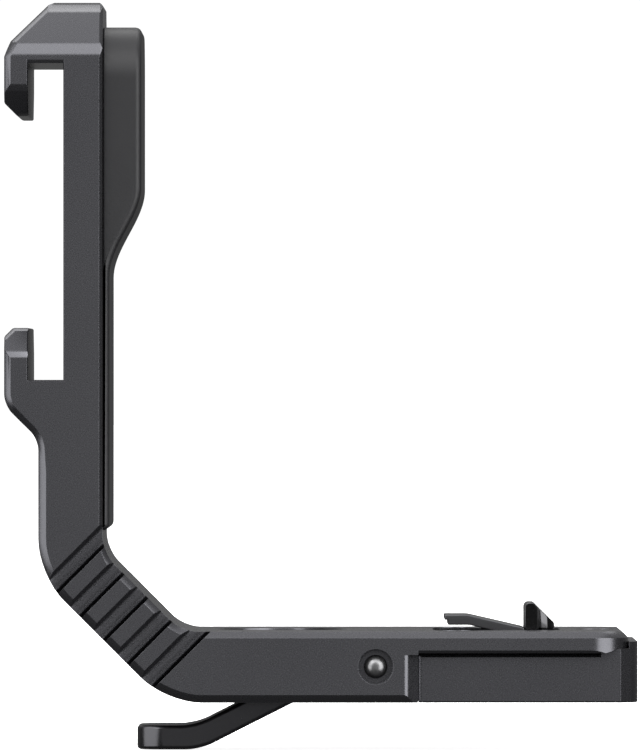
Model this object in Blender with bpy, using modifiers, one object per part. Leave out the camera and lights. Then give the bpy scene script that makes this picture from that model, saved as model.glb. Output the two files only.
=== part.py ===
# Extension bracket for an action camera: an L-shaped alloy frame with a cold
# shoe on its arm, a quick-release foot under its deck, a latch for the camera
# and a lever that frees it. Metres, Z up, X along the deck to its free end.

import math

import bmesh
import bpy
from mathutils import Matrix, Vector

PARTS = "action_camera_bracket"
TOOLS = "cutters"

# Frame, seen from the side. X is measured from the middle of the foot.
BODY_WIDTH = 0.0200
DECK_HEIGHT = 0.00402
DECK_REACH = 0.00615
DECK_CORNER = 0.0022
ARM_REACH = 0.02485
ARM_THICKNESS = 0.00357
INNER_CUT = 0.00473
INNER_ROUND = 0.0023
OUTER_CUT = 0.00747
OUTER_ROUND = 0.0050
HEEL_ROUND = 0.0015
TOP_CHAMFER = 0.0025
EDGE_ROUND = 0.00045

# Cold shoe channel in the arm
WEB = 0.00210
SHOE_DEPTH = 0.00221
LIP_THICKNESS = 0.00126
SHOE_LOW = 0.01890
SHOE_HEIGHT = 0.01878
SHOE_CROWN = 0.00327
LOWER_LIP_REACH = 0.00305
UPPER_LIP_REACH = 0.00318
HOOK_SILL = 0.00148
SHOE_FILLET = 0.00020
UPPER_LIP_CHAMFER = 0.00075
LOWER_LIP_CHAMFER = 0.00050
LIP_FACET = 0.00160

# Grooves on both sides of the corner, square to its 45 degree faces
GROOVE_COUNT = 5
GROOVE_STEPS = 6
GROOVE_WIDTH = 0.00088
GROOVE_WALL = 0.00026
GROOVE_DEPTH = 0.00050
GROOVE_PITCH = 0.00197
GROOVE_OVERRUN = 0.0014

# Quick-release foot under the free end of the deck
FOOT_WIDTH = 0.0186
FOOT_LEFT = 0.00607
FOOT_RIGHT = 0.0067
FOOT_HEIGHT = 0.00317
FOOT_CORNER = 0.0012
FOOT_EDGE = 0.00012
NOSE_THICKNESS = 0.00052
NOSE_RISE = 0.00033
SEAT_CLEARANCE = 0.00003
RIM_DROP = 0.00040
WALL_FLARE = 0.00117

# Window in the deck and the pocket below it for the latch
WINDOW_LEFT = 0.00525
WINDOW_RIGHT = 0.00220
WINDOW_CLEARANCE = 0.00015
WINDOW_CORNER = 0.0005
PLATE_WELL_LEFT = 0.0054
PLATE_WELL_FLOOR = 0.00295
CLAW_WELL_LEFT = 0.00035
CLAW_WELL_RIGHT = 0.0024
CLAW_WELL_FLOOR = 0.00055
BAR_CHANNEL_WIDTH = 0.0032
BAR_CHANNEL_HEIGHT = 0.00205

# Claw pin
CLAW_PIN_X = 0.0012
CLAW_PIN_Z = 0.0029
CLAW_PIN_RADIUS = 0.0004
CLAW_PIN_HOLD = 0.00175
PIN_CLEARANCE = 0.00003
PIN_END_CLEARANCE = 0.0001
PIN_EDGE = 0.0001

# Claw, measured from its pin
TOOTH_WIDTH = 0.0060
TOOTH_LEFT = 0.00103
TOOTH_RIGHT = 0.00075
TOOTH_TOP = 0.0028
TOOTH_BOTTOM = 0.00098
TOOTH_RAMP = 0.00236
TOOTH_LEFT_ROUND = 0.00028
TOOTH_RIGHT_ROUND = 0.00020
TOOTH_SIDE_ROUND = 0.00060
TOOTH_EDGE = 0.00005
CLAW_WEB_WIDTH = 0.0030
CLAW_WEB_HALF = 0.00070
CLAW_WEB_TOP = 0.0015
CLAW_HUB_RADIUS = 0.0008
CLAW_LEG_LEFT = 0.00005
CLAW_LEG_RIGHT = 0.00055
CLAW_LEG_DROP = 0.0012
CLAW_LEG_WIDTH = 0.0024

# Trip plate, measured from the claw pin
TRIP_WIDTH = 0.0072
TRIP_LEFT = 0.0058
TRIP_BEND = 0.0044
TRIP_RIGHT = 0.0011
TRIP_TOP = 0.00216
TRIP_THICKNESS = 0.0006
TRIP_STEP = 0.0002
TRIP_SLOPE_ANGLE = math.radians(13.0)
TRIP_EDGE = 0.00008
EAR_THICKNESS = 0.00045
EAR_RADIUS = 0.00075
EAR_ROOT = 0.0012

# Claw springs, measured from the claw pin
CLAW_WIRE_RADIUS = 0.00007
CLAW_COIL_RADIUS = 0.00062
CLAW_COIL_TURNS_COUNT = 2.25
CLAW_COIL_WEB_GAP = 0.00010
CLAW_COIL_EAR_GAP = 0.00004875
CLAW_LEG_REACH = 0.0027
CLAW_LEG_RISE = 0.0010
CLAW_LEG_FOOT = 0.0019

# Release lever, measured from its pin
LEVER_PIN_X = -0.00867
LEVER_PIN_Z = 0.00211
LEVER_PIN_RADIUS = 0.00062
LEVER_BORE_CLEARANCE = 0.00004
LEVER_PIN_INSET = 0.00012
LEVER_PIN_EDGE = 0.0003
PIN_RECESS_RADIUS = 0.00098
PIN_RECESS_DEPTH = 0.00035
LEVER_WIDTH = 0.0078
LEVER_THICKNESS = 0.0013
LEVER_ANGLE = math.radians(26.8)
LEVER_RAISE = 0.0000714
PADDLE_UNDERSIDE = 0.00503
PADDLE_REACH = 0.01408
PADDLE_CORNER = 0.0016
BEND_ROUND = 0.0017
LEVER_EDGE = 0.00022
HUB_RADIUS = 0.00138
HUB_WIDTH = 0.0066
BAR_REACH = 0.01003
BAR_LOW = 0.00111
BAR_THICKNESS = 0.00065
BAR_WIDTH = 0.0026
LEVER_TRAVEL_ANGLE = math.radians(5.0)
SLOT_WIDTH = 0.0082
SLOT_ROOF = 0.00358
SLOT_ROOF_GAP = 0.000065
HUB_GAP = 0.0001

# Washers beside the lever's hub
WASHER_RADIUS = 0.0012
WASHER_THICKNESS = 0.0006
WASHER_GAP = 0.0001
WASHER_RELIEF = 0.0003

# Lever spring with its cap in the deck and its seat on the lever
SPRING_X = -0.0142
SPRING_WIRE_RADIUS = 0.00014
SPRING_COIL_RADIUS = 0.0011
SPRING_PITCH = 0.00072
SPRING_TURNS_COUNT = 2.6
SPRING_SEAT_Z = 0.00120
SPRING_SEAT_RADIUS = 0.0014
SPRING_SEAT_RELIEF = 0.0001
SPRING_END_GAP = 0.00005
CAP_RADIUS = 0.00375
CAP_TOP = 0.00390
CAP_FLANGE = 0.0004
CAP_STEM_RADIUS = 0.0019
CAP_STEM_END = 0.0029
CAP_BORE_RADIUS = 0.00145
CAP_BORE_TOP = 0.00345
CAP_CLEARANCE = 0.00005
CAP_EDGE = 0.0001
SPANNER_RADIUS = 0.00035
SPANNER_OFFSET = 0.0023
SPANNER_DEPTH = 0.00022

# Countersunk screws
SCREW_HEAD_RADIUS = 0.00125
SCREW_HEAD_DEPTH = 0.0006
SCREW_RADIUS = 0.0007
SCREW_END_Z = 0.0006
SCREW_RECESS = 0.00008
SCREW_CLEARANCE = 0.00005
SOCKET_RADIUS = 0.0005
SOCKET_DEPTH = 0.0003
SIDE_SCREW_X = -0.0039
SIDE_SCREW_SHARE = 1 / 3
END_SCREW_X = 0.0044
PAD_SCREW_DROP = 0.0063
PAD_SCREW_Y = 0.0050
PAD_SCREW_LENGTH = 0.0036

# Moulded pad on the arm
PAD_WIDTH = 0.0188
PAD_RISE = 0.00135
PAD_DROP = 0.00115
PAD_THICKNESS = 0.00229
PAD_SKIN = 0.0003
PAD_HEAD = 0.0096
PAD_CURVE_HEIGHT = 0.0052
PAD_CURVE_STEPS = 12
PAD_CORNER = 0.0030
PAD_EDGE = 0.0001

# Values shared by all pieces
OVERRUN = 0.0010
WELD_DISTANCE = 0.000001
FLAT_ANGLE = math.radians(0.5)
ARC_ANGLE = math.radians(10.0)
SHARP_ANGLE = math.radians(30.0)
EDGE_SEGMENTS = 3
FINE_SEGMENTS = 2
ROUND_STEPS = 24
SLOT_STEPS = 12
LARGE_STEPS = 40
COIL_STEPS = 8
HEX_STEPS = 6

# Places that follow from the sizes above
HALF_WIDTH = BODY_WIDTH / 2
ARM_X = -ARM_REACH
HEEL_X = ARM_X - ARM_THICKNESS
SHOE_WALL_X = ARM_X - WEB
LIP_INNER_X = SHOE_WALL_X - SHOE_DEPTH
OUTER_X = LIP_INNER_X - LIP_THICKNESS
SHOE_HIGH = SHOE_LOW + SHOE_HEIGHT
MOUTH_LOW = SHOE_LOW + LOWER_LIP_REACH
MOUTH_HIGH = SHOE_HIGH - UPPER_LIP_REACH
FRAME_TOP = SHOE_HIGH + SHOE_CROWN
POCKET_ROOF = FOOT_HEIGHT + SEAT_CLEARANCE
POCKET_LEFT = FOOT_LEFT + SEAT_CLEARANCE
POCKET_HALF = FOOT_WIDTH / 2 + SEAT_CLEARANCE
HALF_WINDOW = TRIP_WIDTH / 2 + WINDOW_CLEARANCE
CLAW_PIN_HALF = HALF_WINDOW + CLAW_PIN_HOLD
SIDE_SCREW_Y = HALF_WINDOW + (FOOT_WIDTH / 2 - HALF_WINDOW) * SIDE_SCREW_SHARE
PAD_LOW = DECK_HEIGHT + INNER_CUT + PAD_RISE
PAD_TOP = FRAME_TOP - PAD_DROP
PAD_CURVE_TOP = PAD_TOP - PAD_HEAD
PAD_CURVE_LOW = PAD_CURVE_TOP - PAD_CURVE_HEIGHT
PAD_SCREW_Z = PAD_TOP - PAD_SCREW_DROP
LEVER_BORE = LEVER_PIN_RADIUS + LEVER_BORE_CLEARANCE


def clear_scene():
    for item in list(bpy.data.objects):
        bpy.data.objects.remove(item, do_unlink=True)


def new_collection(name):
    group = bpy.data.collections.new(name)
    bpy.context.scene.collection.children.link(group)


def new_anchor(name, place, parent=None):
    anchor = bpy.data.objects.new(name, None)
    anchor.parent = parent
    anchor.location = place
    bpy.data.collections[PARTS].objects.link(anchor)
    return anchor


def finish(name, colour, metallic, roughness):
    material = bpy.data.materials.new(name)
    material.use_nodes = True
    shader = material.node_tree.nodes["Principled BSDF"]
    shader.inputs["Base Color"].default_value = (*colour, 1.0)
    shader.inputs["Metallic"].default_value = metallic
    shader.inputs["Roughness"].default_value = roughness
    return material


def shape(name, data, anchor, place, turn):
    item = bpy.data.objects.new(name, data)
    item.parent = anchor
    item.location = place
    item.rotation_euler = turn
    item.hide_render = True
    item.display_type = "WIRE"
    bpy.data.collections[TOOLS].objects.link(item)
    return item


def keep(item, material):
    bpy.data.collections[TOOLS].objects.unlink(item)
    bpy.data.collections[PARTS].objects.link(item)
    item.hide_render = False
    item.display_type = "TEXTURED"
    item.data.materials.append(material)
    if item.type == "MESH":
        item.data.shade_smooth()
        item.data.set_sharp_from_angle(angle=SHARP_ANGLE)
    return item


def rounded(corners):
    # corners are (u, v, radius); each radius becomes a run of short chords
    points = []
    count = len(corners)
    for index, (u, v, radius) in enumerate(corners):
        corner = Vector((u, v))
        if radius == 0:
            points.append(corner)
            continue
        back = (Vector(corners[index - 1][:2]) - corner).normalized()
        ahead = (Vector(corners[(index + 1) % count][:2]) - corner).normalized()
        half = back.angle(ahead) / 2
        centre = corner + (back + ahead).normalized() * radius / math.sin(half)
        start = corner + back * radius / math.tan(half) - centre
        end = corner + ahead * radius / math.tan(half) - centre
        first = math.atan2(start.y, start.x)
        sweep = math.remainder(math.atan2(end.y, end.x) - first, math.tau)
        steps = max(2, math.ceil(abs(sweep) / ARC_ANGLE))
        for step in range(steps + 1):
            angle = first + sweep * step / steps
            points.append(centre + Vector((math.cos(angle), math.sin(angle))) * radius)
    return points


def extruded(name, outline, low, high, plane, anchor):
    curve = bpy.data.curves.new(name, "CURVE")
    curve.dimensions = "2D"
    curve.fill_mode = "BOTH"
    curve.extrude = (high - low) / 2
    spline = curve.splines.new("POLY")
    spline.points.add(len(outline) - 1)
    for point, (u, v) in zip(spline.points, outline):
        point.co = (u, v, 0, 1)
    spline.use_cyclic_u = True
    middle = (low + high) / 2
    quarter = math.pi / 2
    place, turn = {
        "XY": ((0, 0, middle), (0, 0, 0)),
        "XZ": ((0, middle, 0), (quarter, 0, 0)),
        "YZ": ((middle, 0, 0), (quarter, 0, quarter)),
    }[plane]
    sketch = bpy.data.objects.new(name, curve)
    bpy.context.scene.collection.objects.link(sketch)
    bpy.context.view_layer.update()
    graph = bpy.context.evaluated_depsgraph_get()
    mesh = bpy.data.meshes.new_from_object(sketch.evaluated_get(graph))
    bpy.data.objects.remove(sketch)
    bm = bmesh.new()
    bm.from_mesh(mesh)
    bmesh.ops.remove_doubles(bm, verts=bm.verts, dist=WELD_DISTANCE)
    bmesh.ops.dissolve_limit(bm, angle_limit=FLAT_ANGLE, verts=bm.verts, edges=bm.edges)
    bmesh.ops.recalc_face_normals(bm, faces=bm.faces)
    bm.to_mesh(mesh)
    bm.free()
    return shape(name, mesh, anchor, place, turn)


def rod(name, anchor, start, end, radius, end_radius=None, steps=ROUND_STEPS):
    start, end = Vector(start), Vector(end)
    run = end - start
    mesh = bpy.data.meshes.new(name)
    bm = bmesh.new()
    top = radius if end_radius is None else end_radius
    bmesh.ops.create_cone(
        bm, cap_ends=True, segments=steps, radius1=radius, radius2=top, depth=run.length
    )
    bm.to_mesh(mesh)
    bm.free()
    turn = run.to_track_quat("Z", "Y").to_euler()
    return shape(name, mesh, anchor, (start + end) / 2, turn)


def box(name, anchor, low, high):
    low, high = Vector(low), Vector(high)
    size = high - low
    mesh = bpy.data.meshes.new(name)
    bm = bmesh.new()
    bmesh.ops.create_cube(bm, size=1)
    bmesh.ops.scale(bm, vec=size, verts=bm.verts)
    bm.to_mesh(mesh)
    bm.free()
    return shape(name, mesh, anchor, (low + high) / 2, (0, 0, 0))


def turned(name, anchor, profile, place, turn, steps=ROUND_STEPS):
    # profile holds (radius, height) from the top of the axis down the outside
    mesh = bpy.data.meshes.new(name)
    bm = bmesh.new()
    points = [bm.verts.new((radius, 0, height)) for radius, height in profile]
    for first, second in zip(points, points[1:]):
        bm.edges.new((first, second))
    bm.to_mesh(mesh)
    bm.free()
    item = shape(name, mesh, anchor, place, turn)
    lathe = item.modifiers.new("lathe", "SCREW")
    lathe.steps = steps
    lathe.render_steps = steps
    lathe.use_merge_vertices = True
    lathe.merge_threshold = WELD_DISTANCE
    return item


def slice_off(item, point, normal):
    # removes what lies beyond a plane given beside the piece's anchor
    inward = item.matrix_basis.inverted()
    bm = bmesh.new()
    bm.from_mesh(item.data)
    cut = bmesh.ops.bisect_plane(
        bm, geom=[*bm.verts, *bm.edges, *bm.faces], dist=WELD_DISTANCE,
        plane_co=inward @ Vector(point), plane_no=inward.to_3x3() @ Vector(normal),
        clear_outer=True,
    )
    rim = [part for part in cut["geom_cut"] if isinstance(part, bmesh.types.BMEdge)]
    bmesh.ops.holes_fill(bm, edges=rim)
    bm.to_mesh(item.data)
    bm.free()


def combine(target, tool, operation="DIFFERENCE"):
    change = target.modifiers.new(tool.name, "BOOLEAN")
    change.operation = operation
    change.object = tool
    change.solver = "EXACT"


def soften(target, width, segments=EDGE_SEGMENTS):
    edge = target.modifiers.new("edge", "BEVEL")
    edge.width = width
    edge.segments = segments
    edge.limit_method = "ANGLE"
    edge.angle_limit = SHARP_ANGLE
    edge.harden_normals = False


def corner_tool(name, anchor, u, v, radius, low, high, plane, side_u, side_v):
    # what lies outside a rounded corner at (u, v)
    inner_u, inner_v = u - side_u * radius, v - side_v * radius
    far_u, far_v = u + side_u * OVERRUN, v + side_v * OVERRUN
    steps = math.ceil(math.pi / 2 / ARC_ANGLE)
    arc = []
    for step in range(steps + 1):
        angle = math.pi / 2 * step / steps
        arc.append((
            inner_u + side_u * radius * math.cos(angle),
            inner_v + side_v * radius * math.sin(angle),
        ))
    outline = [(far_u, inner_v)] + arc + [(inner_u, far_v), (far_u, far_v)]
    return extruded(name, outline, low, high, plane, anchor)


def side_outline():
    step = HEEL_X - OUTER_X
    hook = SHOE_LOW - HOOK_SILL
    return rounded([
        (DECK_REACH, 0, 0),
        (DECK_REACH, DECK_HEIGHT, 0),
        (ARM_X + INNER_CUT, DECK_HEIGHT, INNER_ROUND),
        (ARM_X, DECK_HEIGHT + INNER_CUT, INNER_ROUND),
        (ARM_X, FRAME_TOP, 0),
        (OUTER_X + TOP_CHAMFER, FRAME_TOP, 0),
        (OUTER_X, FRAME_TOP - TOP_CHAMFER, 0),
        (OUTER_X, hook, 0),
        (HEEL_X, hook - step, HEEL_ROUND),
        (HEEL_X, OUTER_CUT, OUTER_ROUND),
        (HEEL_X + OUTER_CUT, 0, OUTER_ROUND),
    ])


def shape_frame_ends(frame, root):
    for side in (-1, 1):
        tool = corner_tool(
            "deck_corner", root, DECK_REACH, side * HALF_WIDTH, DECK_CORNER,
            -OVERRUN, DECK_HEIGHT + OVERRUN, "XY", 1, side,
        )
        combine(frame, tool)
        slice_off(frame, (0, side * HALF_WIDTH, FRAME_TOP - TOP_CHAMFER), (0, side, 1))
        inner = side * (HALF_WIDTH - LIP_FACET)
        outer = side * (HALF_WIDTH + OVERRUN)
        mouth = [
            (inner, MOUTH_LOW),
            (outer, MOUTH_LOW - LIP_FACET - OVERRUN),
            (outer, MOUTH_HIGH + LIP_FACET + OVERRUN),
            (inner, MOUTH_HIGH),
        ]
        depth = LIP_INNER_X + SHOE_DEPTH / 2
        tool = extruded("lip_facet", mouth, OUTER_X - OVERRUN, depth, "YZ", root)
        combine(frame, tool)


def cut_shoe(frame, root):
    low, high = LOWER_LIP_CHAMFER, UPPER_LIP_CHAMFER
    outline = rounded([
        (OUTER_X - OVERRUN, MOUTH_LOW - low - OVERRUN, 0),
        (OUTER_X + low, MOUTH_LOW, 0),
        (LIP_INNER_X, MOUTH_LOW, 0),
        (LIP_INNER_X, SHOE_LOW, SHOE_FILLET),
        (SHOE_WALL_X, SHOE_LOW, SHOE_FILLET),
        (SHOE_WALL_X, SHOE_HIGH, SHOE_FILLET),
        (LIP_INNER_X, SHOE_HIGH, SHOE_FILLET),
        (LIP_INNER_X, MOUTH_HIGH, 0),
        (OUTER_X + high, MOUTH_HIGH, 0),
        (OUTER_X - OVERRUN, MOUTH_HIGH + high + OVERRUN, 0),
    ])
    reach = HALF_WIDTH + OVERRUN
    combine(frame, extruded("shoe_channel", outline, -reach, reach, "XZ", root))


def cut_grooves(frame, root):
    # the corner's two 45 degree faces lie on the lines X + Z = outer and inner
    outer = HEEL_X + OUTER_CUT
    inner = ARM_X + INNER_CUT + DECK_HEIGHT
    run = (inner - outer) / math.sqrt(2) + 2 * GROOVE_OVERRUN
    middle = (inner + outer) / 2
    centre = ARM_X - DECK_HEIGHT
    lean = Matrix.Rotation(-math.pi / 4, 4, "Y")
    for side in (-1, 1):
        wall = HALF_WIDTH - GROOVE_WALL
        outline = [
            (side * (HALF_WIDTH + OVERRUN), -GROOVE_WIDTH / 2),
            (side * (HALF_WIDTH + OVERRUN), GROOVE_WIDTH / 2),
        ]
        for step in range(GROOVE_STEPS + 1):
            angle = math.pi * step / GROOVE_STEPS
            sag = (GROOVE_DEPTH - GROOVE_WALL) * math.sin(angle)
            outline.append((side * (wall - sag), GROOVE_WIDTH / 2 * math.cos(angle)))
        for index in range(GROOVE_COUNT):
            offset = centre + (index - (GROOVE_COUNT - 1) / 2) * GROOVE_PITCH * math.sqrt(2)
            tool = extruded("corner_groove", outline, -run / 2, run / 2, "YZ", root)
            spot = Matrix.Translation(((middle + offset) / 2, 0, (middle - offset) / 2))
            tool.matrix_basis = spot @ lean @ tool.matrix_basis
            combine(frame, tool)


def cut_foot_seat(frame, root):
    rim = POCKET_ROOF - RIM_DROP
    slope = RIM_DROP / (HALF_WIDTH - POCKET_HALF)
    outside = HALF_WIDTH + OVERRUN
    edge = POCKET_ROOF - slope * (outside - POCKET_HALF)
    outline = [
        (-outside, -OVERRUN),
        (outside, -OVERRUN),
        (outside, edge),
        (POCKET_HALF, POCKET_ROOF),
        (-POCKET_HALF, POCKET_ROOF),
        (-outside, edge),
    ]
    tool = extruded(
        "foot_seat", outline, -POCKET_LEFT, DECK_REACH + OVERRUN, "YZ", root
    )
    combine(frame, tool)
    for side in (-1, 1):
        wedge = [
            (-POCKET_LEFT, side * POCKET_HALF),
            (-POCKET_LEFT - WALL_FLARE, side * (POCKET_HALF + WALL_FLARE)),
            (-POCKET_LEFT + OVERRUN, side * (POCKET_HALF + WALL_FLARE)),
            (-POCKET_LEFT + OVERRUN, side * POCKET_HALF),
        ]
        combine(frame, extruded("seat_wall", wedge, -OVERRUN, rim, "XY", root))


def cut_window(frame, root):
    outline = rounded([
        (-WINDOW_LEFT, -HALF_WINDOW, WINDOW_CORNER),
        (WINDOW_RIGHT, -HALF_WINDOW, WINDOW_CORNER),
        (WINDOW_RIGHT, HALF_WINDOW, WINDOW_CORNER),
        (-WINDOW_LEFT, HALF_WINDOW, WINDOW_CORNER),
    ])
    low, high = POCKET_ROOF - OVERRUN, DECK_HEIGHT + OVERRUN
    combine(frame, extruded("latch_window", outline, low, high, "XY", root))


def cut_lever_slot(frame, root):
    # the sloping roof stops the pressed lever with a small gap
    pressed = LEVER_ANGLE - LEVER_TRAVEL_ANGLE
    tilt = math.tan(pressed)
    level = (LEVER_RAISE + LEVER_THICKNESS + SLOT_ROOF_GAP) / math.cos(pressed) + LEVER_PIN_Z
    bend = LEVER_PIN_X + (SLOT_ROOF - level) / tilt
    end = LEVER_PIN_X - (level + OVERRUN) / tilt
    wall = LEVER_PIN_X + HUB_RADIUS + HUB_GAP
    inside = -POCKET_LEFT + OVERRUN / 2
    outline = [
        (inside, -OVERRUN),
        (inside, BAR_CHANNEL_HEIGHT),
        (wall, BAR_CHANNEL_HEIGHT),
        (wall, SLOT_ROOF),
        (bend, SLOT_ROOF),
        (end, -OVERRUN),
    ]
    half = SLOT_WIDTH / 2
    combine(frame, extruded("lever_slot", outline, -half, half, "XZ", root))


def cut_frame_bores(frame, root):
    reach = HALF_WIDTH + OVERRUN
    x, z = LEVER_PIN_X, LEVER_PIN_Z
    combine(frame, rod("lever_pin_bore", root, (x, -reach, z), (x, reach, z), LEVER_BORE))
    for side in (-1, 1):
        floor = side * (HALF_WIDTH - PIN_RECESS_DEPTH)
        tool = rod(
            "pin_recess", root, (x, floor, z), (x, side * reach, z), PIN_RECESS_RADIUS
        )
        combine(frame, tool)
        start = side * (HALF_WINDOW - OVERRUN)
        end = side * (CLAW_PIN_HALF + PIN_END_CLEARANCE)
        tool = rod(
            "claw_pin_seat", root, (CLAW_PIN_X, start, CLAW_PIN_Z),
            (CLAW_PIN_X, end, CLAW_PIN_Z), CLAW_PIN_RADIUS + PIN_CLEARANCE,
        )
        combine(frame, tool)
    cap_floor = CAP_TOP - CAP_FLANGE - SEAT_CLEARANCE
    tool = rod(
        "cap_seat", root, (SPRING_X, 0, cap_floor), (SPRING_X, 0, DECK_HEIGHT + OVERRUN),
        CAP_RADIUS + CAP_CLEARANCE, steps=LARGE_STEPS,
    )
    combine(frame, tool)
    tool = rod(
        "spring_bore", root, (SPRING_X, 0, 0), (SPRING_X, 0, cap_floor + OVERRUN / 4),
        CAP_STEM_RADIUS + CAP_CLEARANCE,
    )
    combine(frame, tool)


def screw_profile(length, clearance):
    # a countersunk screw or, with a clearance, the hole it sits in
    head = SCREW_HEAD_RADIUS + clearance
    shank = SCREW_RADIUS + clearance
    top = OVERRUN if clearance else 0
    return [
        (0, top),
        (head, top),
        (head, -clearance),
        (shank, -SCREW_HEAD_DEPTH - clearance),
        (shank, -length - clearance),
        (0, -length - clearance),
    ]


def deck_screw_places():
    return {
        "foot_screw_front": (SIDE_SCREW_X, -SIDE_SCREW_Y),
        "foot_screw_rear": (SIDE_SCREW_X, SIDE_SCREW_Y),
        "foot_screw_end": (END_SCREW_X, 0),
    }


def make_screw(name, root, place, turn, length, material):
    screw = turned(name, root, screw_profile(length, 0), place, turn)
    tool = rod(
        name + "_socket", screw, (0, 0, -SOCKET_DEPTH), (0, 0, OVERRUN), SOCKET_RADIUS,
        steps=HEX_STEPS,
    )
    combine(screw, tool)
    return keep(screw, material)


def make_deck_screws(root, material, frame, foot):
    top = DECK_HEIGHT - SCREW_RECESS
    length = top - SCREW_END_Z
    for name, (x, y) in deck_screw_places().items():
        make_screw(name, root, (x, y, top), (0, 0, 0), length, material)
        profile = screw_profile(length, SCREW_CLEARANCE)
        tool = turned(name + "_hole", root, profile, (x, y, top), (0, 0, 0))
        combine(frame, tool)
        combine(foot, tool)


def make_pad_screws(root, material, frame, pad):
    turn = (0, -math.pi / 2, 0)
    x = SHOE_WALL_X + SCREW_RECESS
    for name, side in (("pad_screw_front", -1), ("pad_screw_rear", 1)):
        place = (x, side * PAD_SCREW_Y, PAD_SCREW_Z)
        make_screw(name, root, place, turn, PAD_SCREW_LENGTH, material)
        profile = screw_profile(PAD_SCREW_LENGTH, SCREW_CLEARANCE)
        tool = turned(name + "_hole", root, profile, place, turn)
        combine(frame, tool)
        combine(pad, tool)


def make_frame(root, material):
    frame = extruded("main_frame", side_outline(), -HALF_WIDTH, HALF_WIDTH, "XZ", root)
    shape_frame_ends(frame, root)
    soften(frame, EDGE_ROUND)
    cut_shoe(frame, root)
    cut_grooves(frame, root)
    cut_foot_seat(frame, root)
    cut_window(frame, root)
    cut_lever_slot(frame, root)
    cut_frame_bores(frame, root)
    return keep(frame, material)


def make_pad(root, material):
    back = ARM_X + SEAT_CLEARANCE
    thick = back + PAD_THICKNESS
    thin = back + PAD_SKIN
    outline = [(back, PAD_LOW), (thin, PAD_LOW)]
    for step in range(PAD_CURVE_STEPS + 1):
        share = step / PAD_CURVE_STEPS
        swell = share * share * (3 - 2 * share)
        outline.append((
            thin + (thick - thin) * swell,
            PAD_CURVE_LOW + (PAD_CURVE_TOP - PAD_CURVE_LOW) * share,
        ))
    outline += [(thick, PAD_TOP), (back, PAD_TOP)]
    half = PAD_WIDTH / 2
    pad = extruded("arm_pad", outline, -half, half, "XZ", root)
    for side in (-1, 1):
        tool = corner_tool(
            "pad_corner", root, side * half, PAD_TOP, PAD_CORNER,
            back - OVERRUN, thick + OVERRUN, "YZ", side, 1,
        )
        combine(pad, tool)
    soften(pad, PAD_EDGE, FINE_SEGMENTS)
    return keep(pad, material)


def cut_pin_slots(foot, root):
    # round-bottomed and open at the top, so that the claw pin drops in
    radius = CLAW_PIN_RADIUS + PIN_CLEARANCE
    outline = [(CLAW_PIN_X - radius, FOOT_HEIGHT + OVERRUN)]
    for step in range(SLOT_STEPS + 1):
        angle = math.pi * (1 + step / SLOT_STEPS)
        outline.append((
            CLAW_PIN_X + radius * math.cos(angle), CLAW_PIN_Z + radius * math.sin(angle),
        ))
    outline.append((CLAW_PIN_X + radius, FOOT_HEIGHT + OVERRUN))
    reach = CLAW_PIN_HALF + PIN_END_CLEARANCE
    for side in (-1, 1):
        low, high = sorted((side * (HALF_WINDOW - OVERRUN), side * reach))
        combine(foot, extruded("pin_slot", outline, low, high, "XZ", root))


def make_foot(root, material):
    nose = FOOT_RIGHT - NOSE_THICKNESS
    outline = [
        (-FOOT_LEFT, 0),
        (FOOT_RIGHT, 0),
        (FOOT_RIGHT, FOOT_HEIGHT + NOSE_RISE),
        (nose, FOOT_HEIGHT + NOSE_RISE),
        (nose, FOOT_HEIGHT),
        (-FOOT_LEFT, FOOT_HEIGHT),
    ]
    half = FOOT_WIDTH / 2
    foot = extruded("foot_block", outline, -half, half, "XZ", root)
    for side in (-1, 1):
        tool = corner_tool(
            "foot_corner", root, FOOT_RIGHT, side * half, FOOT_CORNER,
            -OVERRUN, FOOT_HEIGHT + OVERRUN, "XY", 1, side,
        )
        combine(foot, tool)
    soften(foot, FOOT_EDGE, FINE_SEGMENTS)
    top = FOOT_HEIGHT + OVERRUN
    wells = (
        ("plate_well", -PLATE_WELL_LEFT, -CLAW_WELL_LEFT + OVERRUN, HALF_WINDOW,
         PLATE_WELL_FLOOR, top),
        ("claw_well", -CLAW_WELL_LEFT, CLAW_WELL_RIGHT, HALF_WINDOW,
         CLAW_WELL_FLOOR, top),
        ("bar_channel", -FOOT_LEFT - OVERRUN, CLAW_WELL_RIGHT - OVERRUN / 4,
         BAR_CHANNEL_WIDTH / 2, -OVERRUN, BAR_CHANNEL_HEIGHT),
    )
    for name, left, right, reach, low, high in wells:
        tool = box(name, root, (left, -reach, low), (right, reach, high))
        combine(foot, tool)
    cut_pin_slots(foot, root)
    return keep(foot, material)


def make_cap(root, material):
    floor = CAP_TOP - CAP_FLANGE
    profile = [
        (0, CAP_TOP),
        (CAP_RADIUS - CAP_EDGE, CAP_TOP),
        (CAP_RADIUS, CAP_TOP - CAP_EDGE),
        (CAP_RADIUS, floor),
        (CAP_STEM_RADIUS, floor),
        (CAP_STEM_RADIUS, CAP_STEM_END),
        (CAP_BORE_RADIUS, CAP_STEM_END),
        (CAP_BORE_RADIUS, CAP_BORE_TOP),
        (0, CAP_BORE_TOP),
    ]
    cap = turned("spring_cap", root, profile, (SPRING_X, 0, 0), (0, 0, 0), LARGE_STEPS)
    for side in (-1, 1):
        y = side * SPANNER_OFFSET
        tool = rod(
            "spanner_hole", root, (SPRING_X, y, CAP_TOP - SPANNER_DEPTH),
            (SPRING_X, y, CAP_TOP + OVERRUN), SPANNER_RADIUS,
        )
        combine(cap, tool)
    return keep(cap, material)


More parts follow.
